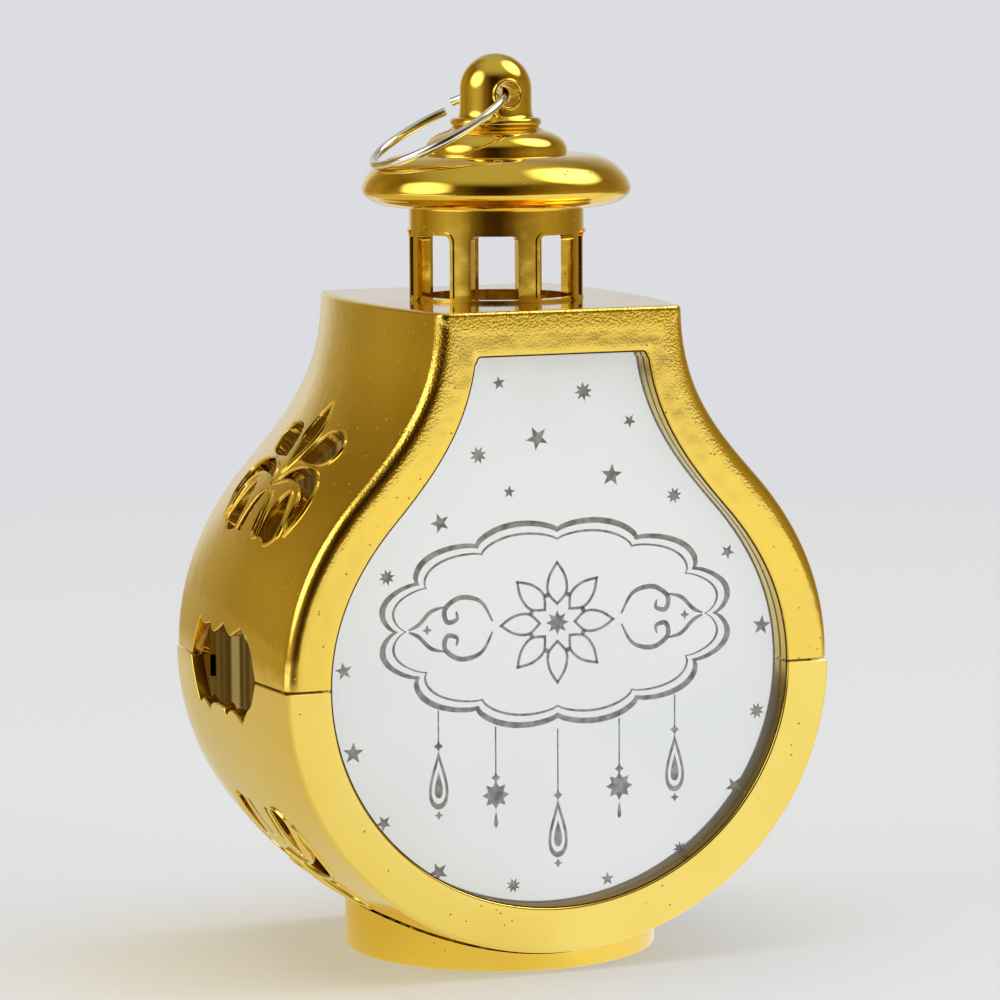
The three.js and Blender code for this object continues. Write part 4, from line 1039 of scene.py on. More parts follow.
def gallery_mesh():
    bay = block((-BAY_LENGTH / 2, 0, GALLERY_FOOT_Z), (BAY_LENGTH / 2, GALLERY_WALL, GALLERY_TOP_Z), edge=0)
    lip = carved(window_block(LIP_WIDTH, -LIP_HEIGHT, 0.4), window_block(0, -2, 2))
    lip = carved(lip, block((-9, -2, 90), (9, 2, GALLERY_FOOT_Z + 0.1), edge=0))
    lip = carved(lip, block((-BAY_HALF_WINDOW, -2, 90), (BAY_HALF_WINDOW, 2, BAY_SILL_Z + 1), edge=0))
    bay = carved(bay, window_block(0, -2, GALLERY_WALL + 2))
    bay = carved(bay, lip, "UNION")
    for side in (1, -1):
        inner = side * (BAY_HALF_WINDOW + LIP_WIDTH)
        outer = side * BAY_LENGTH / 2
        low, high = min(inner, outer), max(inner, outer)
        bay = carved(bay, block((low, -0.25, GALLERY_FOOT_Z), (high, 0.4, GALLERY_FOOT_Z + 0.7), edge=0), "UNION")
    for k in range(1, 14):
        x = -BAY_LENGTH / 2 + BAY_LENGTH * k / 14
        bmesh.ops.bisect_plane(
            bay, geom=bay.verts[:] + bay.edges[:] + bay.faces[:], plane_co=(x, 0, 0), plane_no=(1, 0, 0)
        )
    ends = [f for f in bay.faces if all(abs(abs(v.co.x) - BAY_LENGTH / 2) < 1e-3 for v in f.verts)]
    bmesh.ops.delete(bay, geom=ends, context="FACES_ONLY")
    for vert in bay.verts:
        turn = vert.co.x / GALLERY_RADIUS
        radius = GALLERY_RADIUS - vert.co.y
        vert.co = (radius * math.sin(turn), -radius * math.cos(turn), vert.co.z)
    whole = bmesh.new()
    data = bpy.data.meshes.new("bay")
    bay.to_mesh(data)
    bay.free()
    for k in range(BAY_COUNT):
        turned = bmesh.new()
        turned.from_mesh(data)
        bmesh.ops.rotate(
            turned, matrix=Matrix.Rotation((k + 0.5) * 2 * math.pi / BAY_COUNT, 3, "Z"), verts=turned.verts
        )
        add_part_of(whole, turned)
    bpy.data.meshes.remove(data)
    bmesh.ops.remove_doubles(whole, verts=whole.verts, dist=2e-3)
    return whole


add_piece("gallery_plated", gallery_mesh(), gold_trim, replaced="gallery")

# Roof. A thick rounded brim with a low dome, turned in one piece and plated, pressed into the
# gallery by a spigot under it.

BRIM_LINE = [
    (11.1, 124.6), (11.1, 124.6), (12.6, 124.5), (15.0, 124.32), (16.9, 123.76), (18.4, 122.9), (19.4, 122.02),
    (20.4, 120.74), (20.95, 119.4), (20.95, 119.4), (21.0, 118.9), (20.75, 118.25), (20.3, 117.85), (20.3, 117.85),
    (19.4, 117.15), (17.6, 116.55), (15.6, 116.25), (14.05, 116.1), (14.05, 116.1),
]


def turned_mesh(profile, steps):
    """A profile of [radius, height] turned about the upright axis."""
    mesh = bmesh.new()
    points = [mesh.verts.new((r, 0, z)) for r, z in profile]
    edges = [mesh.edges.new(pair) for pair in zip(points, points[1:])]
    if (points[0].co - points[-1].co).length > 1e-6 and profile[0][0] > 0:
        edges.append(mesh.edges.new((points[-1], points[0])))
    bmesh.ops.spin(
        mesh, geom=points + edges, cent=(0, 0, 0), axis=(0, 0, 1), angle=2 * math.pi, steps=steps, use_merge=True
    )
    bmesh.ops.remove_doubles(mesh, verts=mesh.verts, dist=1e-4)
    bmesh.ops.recalc_face_normals(mesh, faces=mesh.faces)
    return mesh


def roof_mesh():
    dome_foot = 124.9
    # the dome's crown rises to the knob's moulding
    profile = [(2.3, 128.75), (6.5, 128.75), (6.75, 128.66), (6.95, 128.42)]
    for k in range(3, 13):
        turn = math.pi / 2 * k / 12
        profile.append((5.5 + 5.6 * math.sin(turn), dome_foot + 3.4 * math.cos(turn)))
    profile += [(p.x, p.y) for p in curve_through(BRIM_LINE, 5, closed=False)]
    profile += [(11.35, 116.1), (11.35, 114.3), (9.95, 114.3), (9.95, 122.9), (9.4, 124.9), (5.5, 126.6), (2.3, 126.6)]
    return turned_mesh(profile, 128)


add_piece("roof_plated", roof_mesh(), gold_trim, replaced="roof")

# Knob. A bullet-shaped post on a round moulding, pegged into the dome, with a cross hole for the
# hanging ring. A raised rim runs round each end of the hole.

KNOB_RADIUS = 5.6
KNOB_HOLE_Z = 133.7
KNOB_HOLE_RADIUS = 1.9
KNOB_FOOT_Z = 128.6


def knob_mesh():
    shoulder = KNOB_FOOT_Z + 1.5
    profile = [(0, 126.9), (2.0, 126.9), (2.0, KNOB_FOOT_Z), (6.4, KNOB_FOOT_Z)]
    for k in range(1, 12):
        turn = math.pi * k / 12
        profile.append((6.4 + 0.7 * math.sin(turn), KNOB_FOOT_Z + 0.75 - 0.75 * math.cos(turn)))
    profile += [(6.3, shoulder), (6.0, shoulder + 0.02), (5.85, shoulder + 0.2), (5.7, shoulder + 0.6), (5.62, shoulder + 1.3)]
    for k in range(24):
        turn = math.pi / 2 * k / 24
        profile.append((KNOB_RADIUS * math.cos(turn), TOTAL_HEIGHT - KNOB_RADIUS * (1 - math.sin(turn))))
    profile.append((0, TOTAL_HEIGHT))
    knob = turned_mesh(profile, 96)
    bore = bmesh.new()
    bmesh.ops.create_cone(
        bore, cap_ends=True, segments=48, radius1=KNOB_HOLE_RADIUS, radius2=KNOB_HOLE_RADIUS, depth=20,
        matrix=Matrix.Translation((0, 0, KNOB_HOLE_Z)) @ Matrix.Rotation(math.pi / 2, 4, "X"),
    )
    knob = carved(knob, bore)
    for side in (1, -1):
        rim = bmesh.new()
        section = bmesh.ops.create_circle(
            rim, segments=16, radius=0.32, matrix=Matrix.Translation((2.2, 0, 0)) @ Matrix.Rotation(math.pi / 2, 4, "X")
        )["verts"]
        bmesh.ops.spin(
            rim, geom=section + rim.edges[:], cent=(0, 0, 0), axis=(0, 0, 1), angle=2 * math.pi, steps=56,
            use_merge=True,
        )
        for vert in rim.verts:
            x, z = vert.co.x, vert.co.y
            above = max(0.0, z + KNOB_HOLE_Z - (TOTAL_HEIGHT - KNOB_RADIUS))
            depth = math.sqrt(max(0.0, KNOB_RADIUS**2 - x**2 - above**2))
            vert.co = (x, side * (depth + vert.co.z), z + KNOB_HOLE_Z)
        add_part_of(knob, rim)
    return knob


add_piece("knob_plated", knob_mesh(), gold_trim, replaced="knob")

# Hanging ring. Bright nickel-plated steel wire, bent into a ring and cut, its ends sprung a little
# apart; it hangs through the knob's hole and leans on the brim.

RING_RADIUS = 11.5
RING_WIRE = 1.3
RING_OFFSET = 0.75
RING_DIP = math.radians(28.384)
RING_GAP_AT = math.radians(58)
RING_GAP = 1.6
RING_SPREAD = 0.9


def ring_mesh():
    mesh = bmesh.new()
    gap = RING_GAP / RING_RADIUS
    steps = 168
    sweep = 2 * math.pi - gap
    start = RING_GAP_AT - gap / 2
    bmesh.ops.create_circle(
        mesh, segments=20, radius=RING_WIRE / 2 + 0.03,
        matrix=Matrix.Translation((RING_RADIUS, 0, RING_SPREAD / 2)) @ Matrix.Rotation(math.pi / 2, 4, "X"),
        cap_ends=True,
    )
    face = mesh.faces[:][0]
    bmesh.ops.rotate(mesh, matrix=Matrix.Rotation(start, 3, "Z"), verts=mesh.verts)
    bmesh.ops.spin(
        mesh, geom=[face], cent=(0, 0, 0), axis=(0, 0, 1), angle=-sweep, steps=steps,
        dvec=(0, 0, -RING_SPREAD / steps), use_duplicate=False,
    )
    bmesh.ops.recalc_face_normals(mesh, faces=mesh.faces)
    return mesh


def ring_placed():
    mesh = ring_mesh()
    thick = [v for v in mesh.verts]
    bmesh.ops.translate(mesh, vec=(RING_OFFSET - RING_RADIUS, 0, 0), verts=thick)
    bmesh.ops.rotate(mesh, matrix=Matrix.Rotation(-RING_DIP, 3, "Y"), verts=thick)
    bmesh.ops.translate(mesh, vec=(0, 0, KNOB_HOLE_Z), verts=thick)
    return mesh


def bright_steel(name, colour, rough, scratch=900.0, bump=4e-6):
    """Plated or drawn steel with faint lines and a slight unevenness."""
    material, nodes, links = new_material(name)
    place = nodes.new("ShaderNodeTexCoord")
    grain = nodes.new("ShaderNodeTexNoise")
    grain.inputs["Scale"].default_value = scratch
    grain.inputs["Detail"].default_value = 5.0
    links.new(place.outputs["Object"], grain.inputs["Vector"])
    tone = ramp(
        nodes, links, grain.outputs[0], [(0.35, tuple(0.88 * c for c in colour)), (0.65, colour)]
    )
    bumped = nodes.new("ShaderNodeBump")
    bumped.inputs["Distance"].default_value = bump
    links.new(grain.outputs[0], bumped.inputs["Height"])
    shader = nodes.new("ShaderNodeBsdfPrincipled")
    shader.inputs["Metallic"].default_value = 1.0
    links.new(tone, shader.inputs["Base Color"])
    links.new(spread(nodes, links, grain.outputs[0], 0.3, 0.7, *rough), shader.inputs["Roughness"])
    links.new(bumped.outputs["Normal"], shader.inputs["Normal"])
    out = nodes.new("ShaderNodeOutputMaterial")
    links.new(shader.outputs[0], out.inputs["Surface"])
    return material


ring_nickel = bright_steel("ring_nickel", (0.95, 0.95, 0.97), (0.06, 0.16))
add_piece("hanging_ring_wire", ring_placed(), ring_nickel, "hanging_ring", "hanging_ring")

# Panels. Pale silvered plastic sheets that lie behind the frames, kept as the CAD has them; the
# silvering is bright and slightly uneven, and mirrors the frame's inner edge.


def silvered_panel():
    material, nodes, links = new_material("silvered_panel")
    place = nodes.new("ShaderNodeTexCoord")
    cloud = nodes.new("ShaderNodeTexNoise")
    cloud.inputs["Scale"].default_value = 45.0
    cloud.inputs["Detail"].default_value = 5.0
    links.new(place.outputs["Object"], cloud.inputs["Vector"])
    tone = ramp(nodes, links, cloud.outputs[0], [(0.35, (0.79, 0.815, 0.82)), (0.65, (0.83, 0.85, 0.855))])
    grain = nodes.new("ShaderNodeTexNoise")
    grain.inputs["Scale"].default_value = 1400.0
    links.new(place.outputs["Object"], grain.inputs["Vector"])
    bumped = nodes.new("ShaderNodeBump")
    bumped.inputs["Distance"].default_value = 2e-6
    links.new(grain.outputs[0], bumped.inputs["Height"])
    shader = nodes.new("ShaderNodeBsdfPrincipled")
    # the inner side of each sheet is painted dark bronze, painted shade of the lantern's dark inside, crossed by bands
    # of painted gold reflection
    parts = nodes.new("ShaderNodeSeparateXYZ")
    links.new(place.outputs["Object"], parts.inputs[0])
    depth = nodes.new("ShaderNodeMath")
    depth.operation = "ABSOLUTE"
    links.new(parts.outputs["Y"], depth.inputs[0])
    outside = spread(nodes, links, depth.outputs[0], 24.45 * MM, 24.6 * MM)
    reflection_bands = nodes.new("ShaderNodeTexNoise")
    reflection_bands.noise_dimensions = "1D"
    reflection_bands.inputs["Scale"].default_value = 260.0
    links.new(parts.outputs["X"], reflection_bands.inputs["W"])
    painted_inner_side = ramp(
        nodes,
        links,
        reflection_bands.outputs[0],
        [(0.36, (0.05, 0.025, 0.006)), (0.46, (0.30, 0.19, 0.04)), (0.54, (0.12, 0.07, 0.02)), (0.63, (0.66, 0.50, 0.18))],
    )
    tone = mixed(nodes, links, outside, painted_inner_side, tone)
    # the inner side glows a little: painted light standing for daylight coming through the sheet
    links.new(mixed(nodes, links, outside, painted_inner_side, (0.0, 0.0, 0.0)), shader.inputs["Emission Color"])
    shader.inputs["Emission Strength"].default_value = 0.35
    links.new(spread(nodes, links, outside, 0, 1, 0.2, 0.7), shader.inputs["Metallic"])
    shader.inputs["Coat Weight"].default_value = 0.6
    shader.inputs["Coat Roughness"].default_value = 0.03
    links.new(tone, shader.inputs["Base Color"])
    links.new(spread(nodes, links, cloud.outputs[0], 0.3, 0.7, 0.06, 0.12), shader.inputs["Roughness"])
    links.new(bumped.outputs["Normal"], shader.inputs["Normal"])
    out = nodes.new("ShaderNodeOutputMaterial")
    links.new(shader.outputs[0], out.inputs["Surface"])
    return material


def dress(node, look):
    """Gives a CAD node a better material."""
    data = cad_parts[node].data
    data.materials.clear()
    data.materials.append(look)


panel_look = silvered_panel()
dress("front_panel", panel_look)
dress("back_panel", panel_look)

# Print on the panels. Thin grey screen ink in an own plain design: a scalloped double frame round a
# petalled rosette with scrolls, strings of drops and stars under it, and small stars all over.

INK_THICK = 0.02
GAP_SHADE_RADIUS = 0.17
PANEL_OUT_Y = 24.7
PRINT_MIDDLE_Z = 54.0


def ink_patch(mesh, points):
    """A flat patch of ink as [x, z]."""
    mesh.faces.new([mesh.verts.new((x, 0, z)) for x, z in points])


def ink_band(mesh, outer, inner):
    """A closed line of ink between two outlines."""
    edges = []
    for line in (outer, inner):
        verts = [mesh.verts.new((p[0], 0, p[1])) for p in line]
        edges += [mesh.edges.new((verts[i - 1], verts[i])) for i in range(len(verts))]
    bmesh.ops.bridge_loops(mesh, edges=edges)


def ink_stroke(mesh, points, width):
    """An open line of ink that thins out at both ends."""
    line = curve_through(points, 6, closed=False)
    left = []
    right = []
    for i, here in enumerate(line):
        way = (line[min(i + 1, len(line) - 1)] - line[max(i - 1, 0)]).normalized()
        share = i / (len(line) - 1)
        half = width / 2 * min(1.0, 0.35 + 2.4 * min(share, 1 - share))
        across = Vector((-way.y, way.x)) * half
        left.append(here + across)
        right.append(here - across)
    for i in range(len(line) - 1):
        ink_patch(mesh, [left[i], left[i + 1], right[i + 1], right[i]])


def star_points(x, z, radius, points, waist, turn=0.0):
    """A star's outline with an even number of corners."""
    return [
        (
            x + radius * (waist if k % 2 else 1) * math.sin(turn + math.pi * k / points),
            z + radius * (waist if k % 2 else 1) * math.cos(turn + math.pi * k / points),
        )
        for k in range(2 * points)
    ]


def scalloped(scale, count=12):
    """The frame's outline: an ellipse of lobes."""
    line = []
    for k in range(240):
        turn = 2 * math.pi * k / 240
        lobe = 0.92 + 0.1 * abs(math.sin(count / 2 * turn)) ** 0.75
        line.append((29.0 * scale[0] * lobe * math.cos(turn), PRINT_MIDDLE_Z + 16.0 * scale[1] * lobe * math.sin(turn)))
    return line


def drop_points(x, z, width, height):
    """A teardrop hanging from its point."""
    return [
        (x + width / 2 * math.sin(t) * math.sin(t / 2) ** 1.6, z + height / 2 * math.cos(t))
        for t in (2 * math.pi * k / 28 for k in range(28))
    ]


def print_mesh():
    mesh = bmesh.new()
    ink_band(mesh, scalloped((1.0, 1.0)), scalloped((0.968, 0.944)))
    ink_band(mesh, scalloped((0.93, 0.885)), scalloped((0.917, 0.862)))
    for k in range(8):
        turn = math.pi / 4 * k
        petal = [(0, 2.6), (0, 2.6), (1.7, 4.6), (1.5, 7.2), (0, 9.6), (0, 9.6), (-1.5, 7.2), (-1.7, 4.6)]
        line = curve_through(petal, 5)
        thin = widened(line, -0.42)
        spun = []
        for points in (line, thin):
            spun.append(
                [
                    (
                        p.x * math.cos(turn) + p.y * math.sin(turn),
                        PRINT_MIDDLE_Z - p.x * math.sin(turn) + p.y * math.cos(turn),
                    )
                    for p in points
                ]
            )
        ink_band(mesh, *spun)
        dot_x = 4.6 * math.sin(turn + math.pi / 8)
        dot_z = PRINT_MIDDLE_Z + 4.6 * math.cos(turn + math.pi / 8)
        ink_patch(mesh, star_points(dot_x, dot_z, 0.42, 6, 0.9))
    ink_patch(mesh, star_points(0, PRINT_MIDDLE_Z, 1.9, 8, 0.55))
    for side in (1, -1):
        for lift in (1, -1):
            scroll = [
                (10.6, 0.3), (12.5, 3.4), (15.8, 4.2), (18.3, 2.6), (18.0, 0.6), (16.4, 0.9), (16.5, 2.1),
            ]
            ink_stroke(mesh, [(side * x, PRINT_MIDDLE_Z + lift * (z + 0.5)) for x, z in scroll], 0.75)
            tail = [(18.4, 3.4), (20.6, 2.8), (22.6, 0.9), (24.2, 0.15)]
            ink_stroke(mesh, [(side * x, PRINT_MIDDLE_Z + lift * z) for x, z in tail], 0.6)
        ink_patch(mesh, star_points(side * 21.2, PRINT_MIDDLE_Z, 0.8, 4, 0.45))
    strings = [(-19.5, 5.0, 1), (-10.2, 7.4, 0), (0.0, 9.8, 1), (10.2, 7.4, 0), (19.5, 5.0, 1)]
    for x, length, ending in strings:
        top = PRINT_MIDDLE_Z - 16.4 * math.sqrt(max(0.0, 1 - (x / 29.6) ** 2))
        low = top - length
        ink_patch(mesh, [(x - 0.11, top), (x + 0.11, top), (x + 0.11, low), (x - 0.11, low)])
        ink_patch(mesh, star_points(x, low - 0.5, 0.75, 4, 0.6))
        if ending:
            outer = drop_points(x, low - 5.6, 4.6, 9.2)
            inner = drop_points(x, low - 5.9, 3.3, 6.9)
            ink_band(mesh, outer, inner)
            ink_patch(mesh, drop_points(x, low - 6.4, 1.9, 4.2))
            ink_patch(mesh, star_points(x, low - 11.1, 0.7, 4, 0.5))
        else:
            ink_patch(mesh, star_points(x, low - 3.2, 2.2, 8, 0.62))
            ink_patch(mesh, drop_points(x, low - 6.9, 0.9, 2.6))
    scattered = [
        (-9.4, 91.0, 1.1, 5), (4.4, 89.2, 1.5, 8), (12.0, 84.4, 1.1, 5), (-3.2, 82.4, 1.9, 5), (-12.8, 80.2, 1.4, 8),
        (9.0, 76.2, 1.8, 5), (-7.8, 74.4, 1.0, 5), (19.4, 72.6, 1.3, 8), (-19.0, 70.2, 1.6, 5), (28.4, 63.4, 1.2, 5),
        (-27.6, 62.4, 1.3, 8), (34.2, 51.6, 1.6, 5), (-34.6, 48.6, 1.4, 5), (33.4, 38.2, 1.3, 8),
        (-33.2, 36.0, 1.7, 5), (29.6, 26.6, 1.5, 5), (-28.4, 25.0, 1.3, 5), (20.4, 17.4, 1.2, 8), (-19.6, 16.8, 1.6, 5),
        (8.2, 13.6, 1.1, 5), (-7.4, 13.8, 1.2, 8),
    ]
    for x, z, radius, points in scattered:
        ink_patch(mesh, star_points(x, z, radius, points, 0.42 if points == 5 else 0.5, turn=0.15 * x))
    grown = bmesh.ops.extrude_face_region(mesh, geom=mesh.faces[:])["geom"]
    raised = [g for g in grown if isinstance(g, bmesh.types.BMVert)]
    bmesh.ops.translate(mesh, vec=(0, -INK_THICK, 0), verts=raised)
    bmesh.ops.translate(mesh, vec=(0, -PANEL_OUT_Y, 0), verts=mesh.verts)
    return mesh


def screen_ink():
    material, nodes, links = new_material("screen_ink")
    place = nodes.new("ShaderNodeTexCoord")
    mottle = nodes.new("ShaderNodeTexNoise")
    mottle.inputs["Scale"].default_value = 650.0
    mottle.inputs["Detail"].default_value = 4.0
    links.new(place.outputs["Object"], mottle.inputs["Vector"])
    tone = ramp(nodes, links, mottle.outputs[0], [(0.36, (0.16, 0.165, 0.17)), (0.62, (0.42, 0.43, 0.43))])
    shader = nodes.new("ShaderNodeBsdfPrincipled")
    shader.inputs["Metallic"].default_value = 0.35
    links.new(tone, shader.inputs["Base Color"])
    links.new(spread(nodes, links, mottle.outputs[0], 0.3, 0.7, 0.3, 0.5), shader.inputs["Roughness"])
    out = nodes.new("ShaderNodeOutputMaterial")
    links.new(shader.outputs[0], out.inputs["Surface"])
    return material


# A thin dark bead round each panel where it meets the frame: painted shade standing for the shadowed gap between them
window = list(upper_window) + [Vector((-q.x, q.y)) for q in reversed(upper_window[:-1])]
window += [Vector((-q.x, q.y)) for q in lower_window[1:]] + [q.copy() for q in reversed(lower_window[1:-1])]
gap_shade_look = bright_steel("gap_shade_line", (0.10, 0.06, 0.025), (0.4, 0.6))
for name, end in (("front_gap_shade_line", 1), ("back_gap_shade_line", -1)):
    joint = bead_mesh([window], GAP_SHADE_RADIUS, end * (HALF_DEPTH - 0.32))
    bmesh.ops.rotate(joint, matrix=Matrix.Rotation(math.pi / 2, 3, "X"), verts=joint.verts)
    add_piece(name, joint, gap_shade_look, weighted=False)

ink = screen_ink()
add_piece("front_print", print_mesh(), ink, weighted=False)
back_print = print_mesh()
bmesh.ops.rotate(back_print, matrix=Matrix.Rotation(math.pi, 3, "Z"), verts=back_print.verts)
add_piece("back_print", back_print, ink, weighted=False)

# Foot. A round moulded cup, plated, screwed under the body. Its rim follows the belly, its floor has
# the battery bay, the switch slot and two sunk screw holes.

FOOT_RADIUS = 24.5
FOOT_BORE = 22.3
FLOOR_LOW_Z = 0.8
FLOOR_TOP_Z = 2.3
CLEARANCE = 0.3
BAY_LEFT_X = -10.35
BAY_RIGHT_X = 9.4
BAY_HALF_Y = 6.1
BAY_TOP_Z = 14.5
BAY_WALL = 1.2
CELL_AXIS_Z = 8.4
DOOR_SCREW_X = 13.1
DOOR_BOSS_RADIUS = 2.5
FOOT_SCREW_X = 19.5
SCREW_ROOM = 1.3
HEAD_ROOM = 2.2
SWITCH_Y = 11.4


def belly_height(x, y):
    """Height of the belly's underside over a place on the table."""
    share = 1 - (y / HALF_DEPTH) ** 2
    low, high = 0.0, math.pi / 2
    for _ in range(40):
        turn = (low + high) / 2
        normal = Vector((math.cos(turn) / BELLY_HALF_WIDTH, -math.sin(turn) / BELLY_HALF_HEIGHT)).normalized()
        swell = (1.4 + 0.7 * math.sin(turn)) * share
        reach = BELLY_HALF_WIDTH * math.cos(turn) + normal.x * swell
        if reach > abs(x):
            low = turn
        else:
            high = turn
    return SEAM_Z - BELLY_HALF_HEIGHT * math.sin(turn) + normal.y * swell


def belly_tool():
    """The room that the belly takes, with a small clearance, as a block with a curved underside."""
    mesh = bmesh.new()
    bmesh.ops.create_grid(mesh, x_segments=48, y_segments=48, size=26.0)
    for vert in mesh.verts:
        vert.co.z = belly_height(vert.co.x, vert.co.y) - CLEARANCE
    grown = bmesh.ops.extrude_face_region(mesh, geom=mesh.faces[:])["geom"]
    for vert in grown:
        if isinstance(vert, bmesh.types.BMVert):
            vert.co.z = 40.0
    bmesh.ops.recalc_face_normals(mesh, faces=mesh.faces)
    return mesh


def foot_mesh():
    profile = [(0, 0.0), (24.1, 0.0), (24.38, 0.12), (FOOT_RADIUS, 0.4), (FOOT_RADIUS, 6.0), (FOOT_RADIUS, 16.0), (0, 16.0)]
    foot = turned_mesh(profile, 144)
    foot = carved(foot, disc(FOOT_BORE, FLOOR_TOP_Z, 20.0, segments=128))
    foot = carved(foot, disc(FOOT_BORE, -1.0, FLOOR_LOW_Z, segments=128))
    room_above = carved(belly_tool(), disc(16.7, 0.0, 50.0, segments=96))
    foot = carved(foot, room_above)
    bay = block(
        (BAY_LEFT_X - BAY_WALL, -BAY_HALF_Y - BAY_WALL, FLOOR_LOW_Z + 0.05),
        (BAY_RIGHT_X + BAY_WALL, BAY_HALF_Y + BAY_WALL, BAY_TOP_Z + BAY_WALL),
        edge=0.3,
    )
    foot = carved(foot, bay, "UNION")
    foot = carved(foot, disc(DOOR_BOSS_RADIUS, FLOOR_LOW_Z + 0.03, 7.0, x=DOOR_SCREW_X, segments=40), "UNION")
    lift = 16.7
    for low, high in (
        ((BAY_LEFT_X, -BAY_HALF_Y, -1), (BAY_RIGHT_X, BAY_HALF_Y, BAY_TOP_Z)),
        ((BAY_LEFT_X - 0.8, -BAY_HALF_Y - 0.8, -1), (BAY_RIGHT_X + 0.8, BAY_HALF_Y + 0.8, 1.9)),
        ((BAY_RIGHT_X, -3.3, -1.5), (15.0, 3.3, 1.9)),
        ((-3.0, SWITCH_Y - 1.2, 0), (3.0, SWITCH_Y + 1.2, 3)),
        ((BAY_LEFT_X, -1.3, BAY_TOP_Z - 1), (BAY_LEFT_X + 1.0, 1.3, lift)),
        ((BAY_RIGHT_X - 1.0, -1.3, BAY_TOP_Z - 1), (BAY_RIGHT_X, 1.3, lift)),
    ):
        foot = carved(foot, block(low, high, edge=0))
    foot = carved(foot, disc(SCREW_ROOM, -1, 6.3, x=DOOR_SCREW_X, segments=32))
    for side in (1, -1):
        foot = carved(foot, disc(SCREW_ROOM, -1, 4.0, x=side * FOOT_SCREW_X, segments=32))
        foot = carved(foot, disc(HEAD_ROOM, -1, 1.5, x=side * FOOT_SCREW_X, segments=40))
    return foot


add_piece("foot_plated", foot_mesh(), gold_trim, replaced="foot")

# Screws. Three small pan-head screws of plated steel with cross recesses: two hold the foot to the
# body, one holds the battery door.

HEAD_RADIUS = 1.9
HEAD_HEIGHT = 0.7
SHANK_RADIUS = 1.0


def screw_mesh(x, low, high):
    """A screw standing on its head, with a turned thread and a cross cut into the head."""
    profile = [(0, low), (HEAD_RADIUS - 0.45, low), (HEAD_RADIUS - 0.12, low + 0.14), (HEAD_RADIUS, low + 0.4)]
    profile += [(HEAD_RADIUS, low + HEAD_HEIGHT), (SHANK_RADIUS, low + HEAD_HEIGHT)]
    turns = int((high - low - HEAD_HEIGHT - 0.7) / 0.5)
    for k in range(turns):
        z = low + HEAD_HEIGHT + 0.2 + 0.5 * k
        profile += [(SHANK_RADIUS - 0.22, z), (SHANK_RADIUS - 0.22, z + 0.12), (SHANK_RADIUS, z + 0.28)]
    profile += [(SHANK_RADIUS - 0.22, high - 0.4), (0.3, high), (0, high)]
    screw = turned_mesh(profile, 40)
    for size in ((1.05, 0.2), (0.2, 1.05)):
        arm = block((-size[0], -size[1], low - 0.2), (size[0], size[1], low + 0.42), edge=0)
        screw = carved(screw, arm)
    bmesh.ops.translate(screw, vec=(x, 0, 0), verts=screw.verts)
    return screw


screw_steel = bright_steel("screw_steel", (0.72, 0.71, 0.69), (0.18, 0.32))
add_piece("foot_screw_left_turned", screw_mesh(-FOOT_SCREW_X, 0.5, 6.6), screw_steel,
          replaced="foot_screw_left")
add_piece("foot_screw_right_turned", screw_mesh(FOOT_SCREW_X, 0.5, 6.6), screw_steel,
          replaced="foot_screw_right")
add_piece("door_screw_turned", screw_mesh(DOOR_SCREW_X, 0.2, 6.0), screw_steel, "battery_door",
          "door_screw")

# Battery door. A flat plated plate with a tab that takes its screw; its outside has grip lines, and
# its pads press the cells up.

DOOR_LOW_Z = 0.8
DOOR_TOP_Z = 1.6


def door_mesh():
    door = block((-10.85, -6.6, DOOR_LOW_Z), (9.9, 6.6, DOOR_TOP_Z), edge=0.12)
    door = carved(door, block((9.0, -3.0, DOOR_LOW_Z + 0.01), (14.7, 3.0, DOOR_TOP_Z - 0.01), edge=0.1), "UNION")
    for x in (-5.7, 0.0, 5.7):
        pad = block((x - 0.6, -1.5, DOOR_TOP_Z - 0.1), (x + 0.6, 1.5, 2.45), edge=0.15)
        door = carved(door, pad, "UNION")
    door = carved(door, disc(SCREW_ROOM, 0, 3, x=DOOR_SCREW_X, segments=32))
    door = carved(door, disc(HEAD_ROOM, 0, 1.2, x=DOOR_SCREW_X, segments=40))
    for k in range(5):
        x = -8.6 + 1.1 * k
        door = carved(door, block((x, -3.4, DOOR_LOW_Z - 0.5), (x + 0.45, 3.4, DOOR_LOW_Z + 0.25), edge=0))
    return door


add_piece("battery_door_plated", door_mesh(), gold_trim, "battery_door", "battery_door")

# Button cells. Three steel cells side by side on one axis, each a turned can closed over a ring
# seal round a smaller cap.

CELL_RADIUS = 5.8
CELL_THICK = 5.4


def cell_mesh(x):
    half = CELL_THICK / 2
    profile = [(0, -half), (CELL_RADIUS - 0.5, -half), (CELL_RADIUS - 0.15, -half + 0.12), (CELL_RADIUS, -half + 0.45)]
    profile += [(CELL_RADIUS, half - 0.75), (CELL_RADIUS - 0.15, half - 0.45), (CELL_RADIUS - 0.7, half - 0.3)]
    profile += [(CELL_RADIUS - 0.75, half - 0.55), (CELL_RADIUS - 1.05, half - 0.55), (CELL_RADIUS - 1.1, half - 0.2)]
    profile += [(CELL_RADIUS - 1.4, half), (0, half)]
    cell = turned_mesh(profile, 72)
    bmesh.ops.rotate(cell, matrix=Matrix.Rotation(-math.pi / 2, 3, "Y"), verts=cell.verts)
    bmesh.ops.translate(cell, vec=(x, 0, CELL_AXIS_Z), verts=cell.verts)
    return cell


cell_steel = bright_steel("cell_steel", (0.80, 0.79, 0.77), (0.12, 0.26))
for k, x in enumerate((-5.7, 0.0, 5.7)):
    node = f"button_cell_{k + 1}"
    middle_x = sum(corner[0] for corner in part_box(node)) / 2 / MM
    add_piece(f"{node}_can", cell_mesh(middle_x), cell_steel, replaced=node)

# Contacts. A flat leaf and a cone spring of plated spring steel, each with a tongue that goes up
# through the bay's roof to the board.


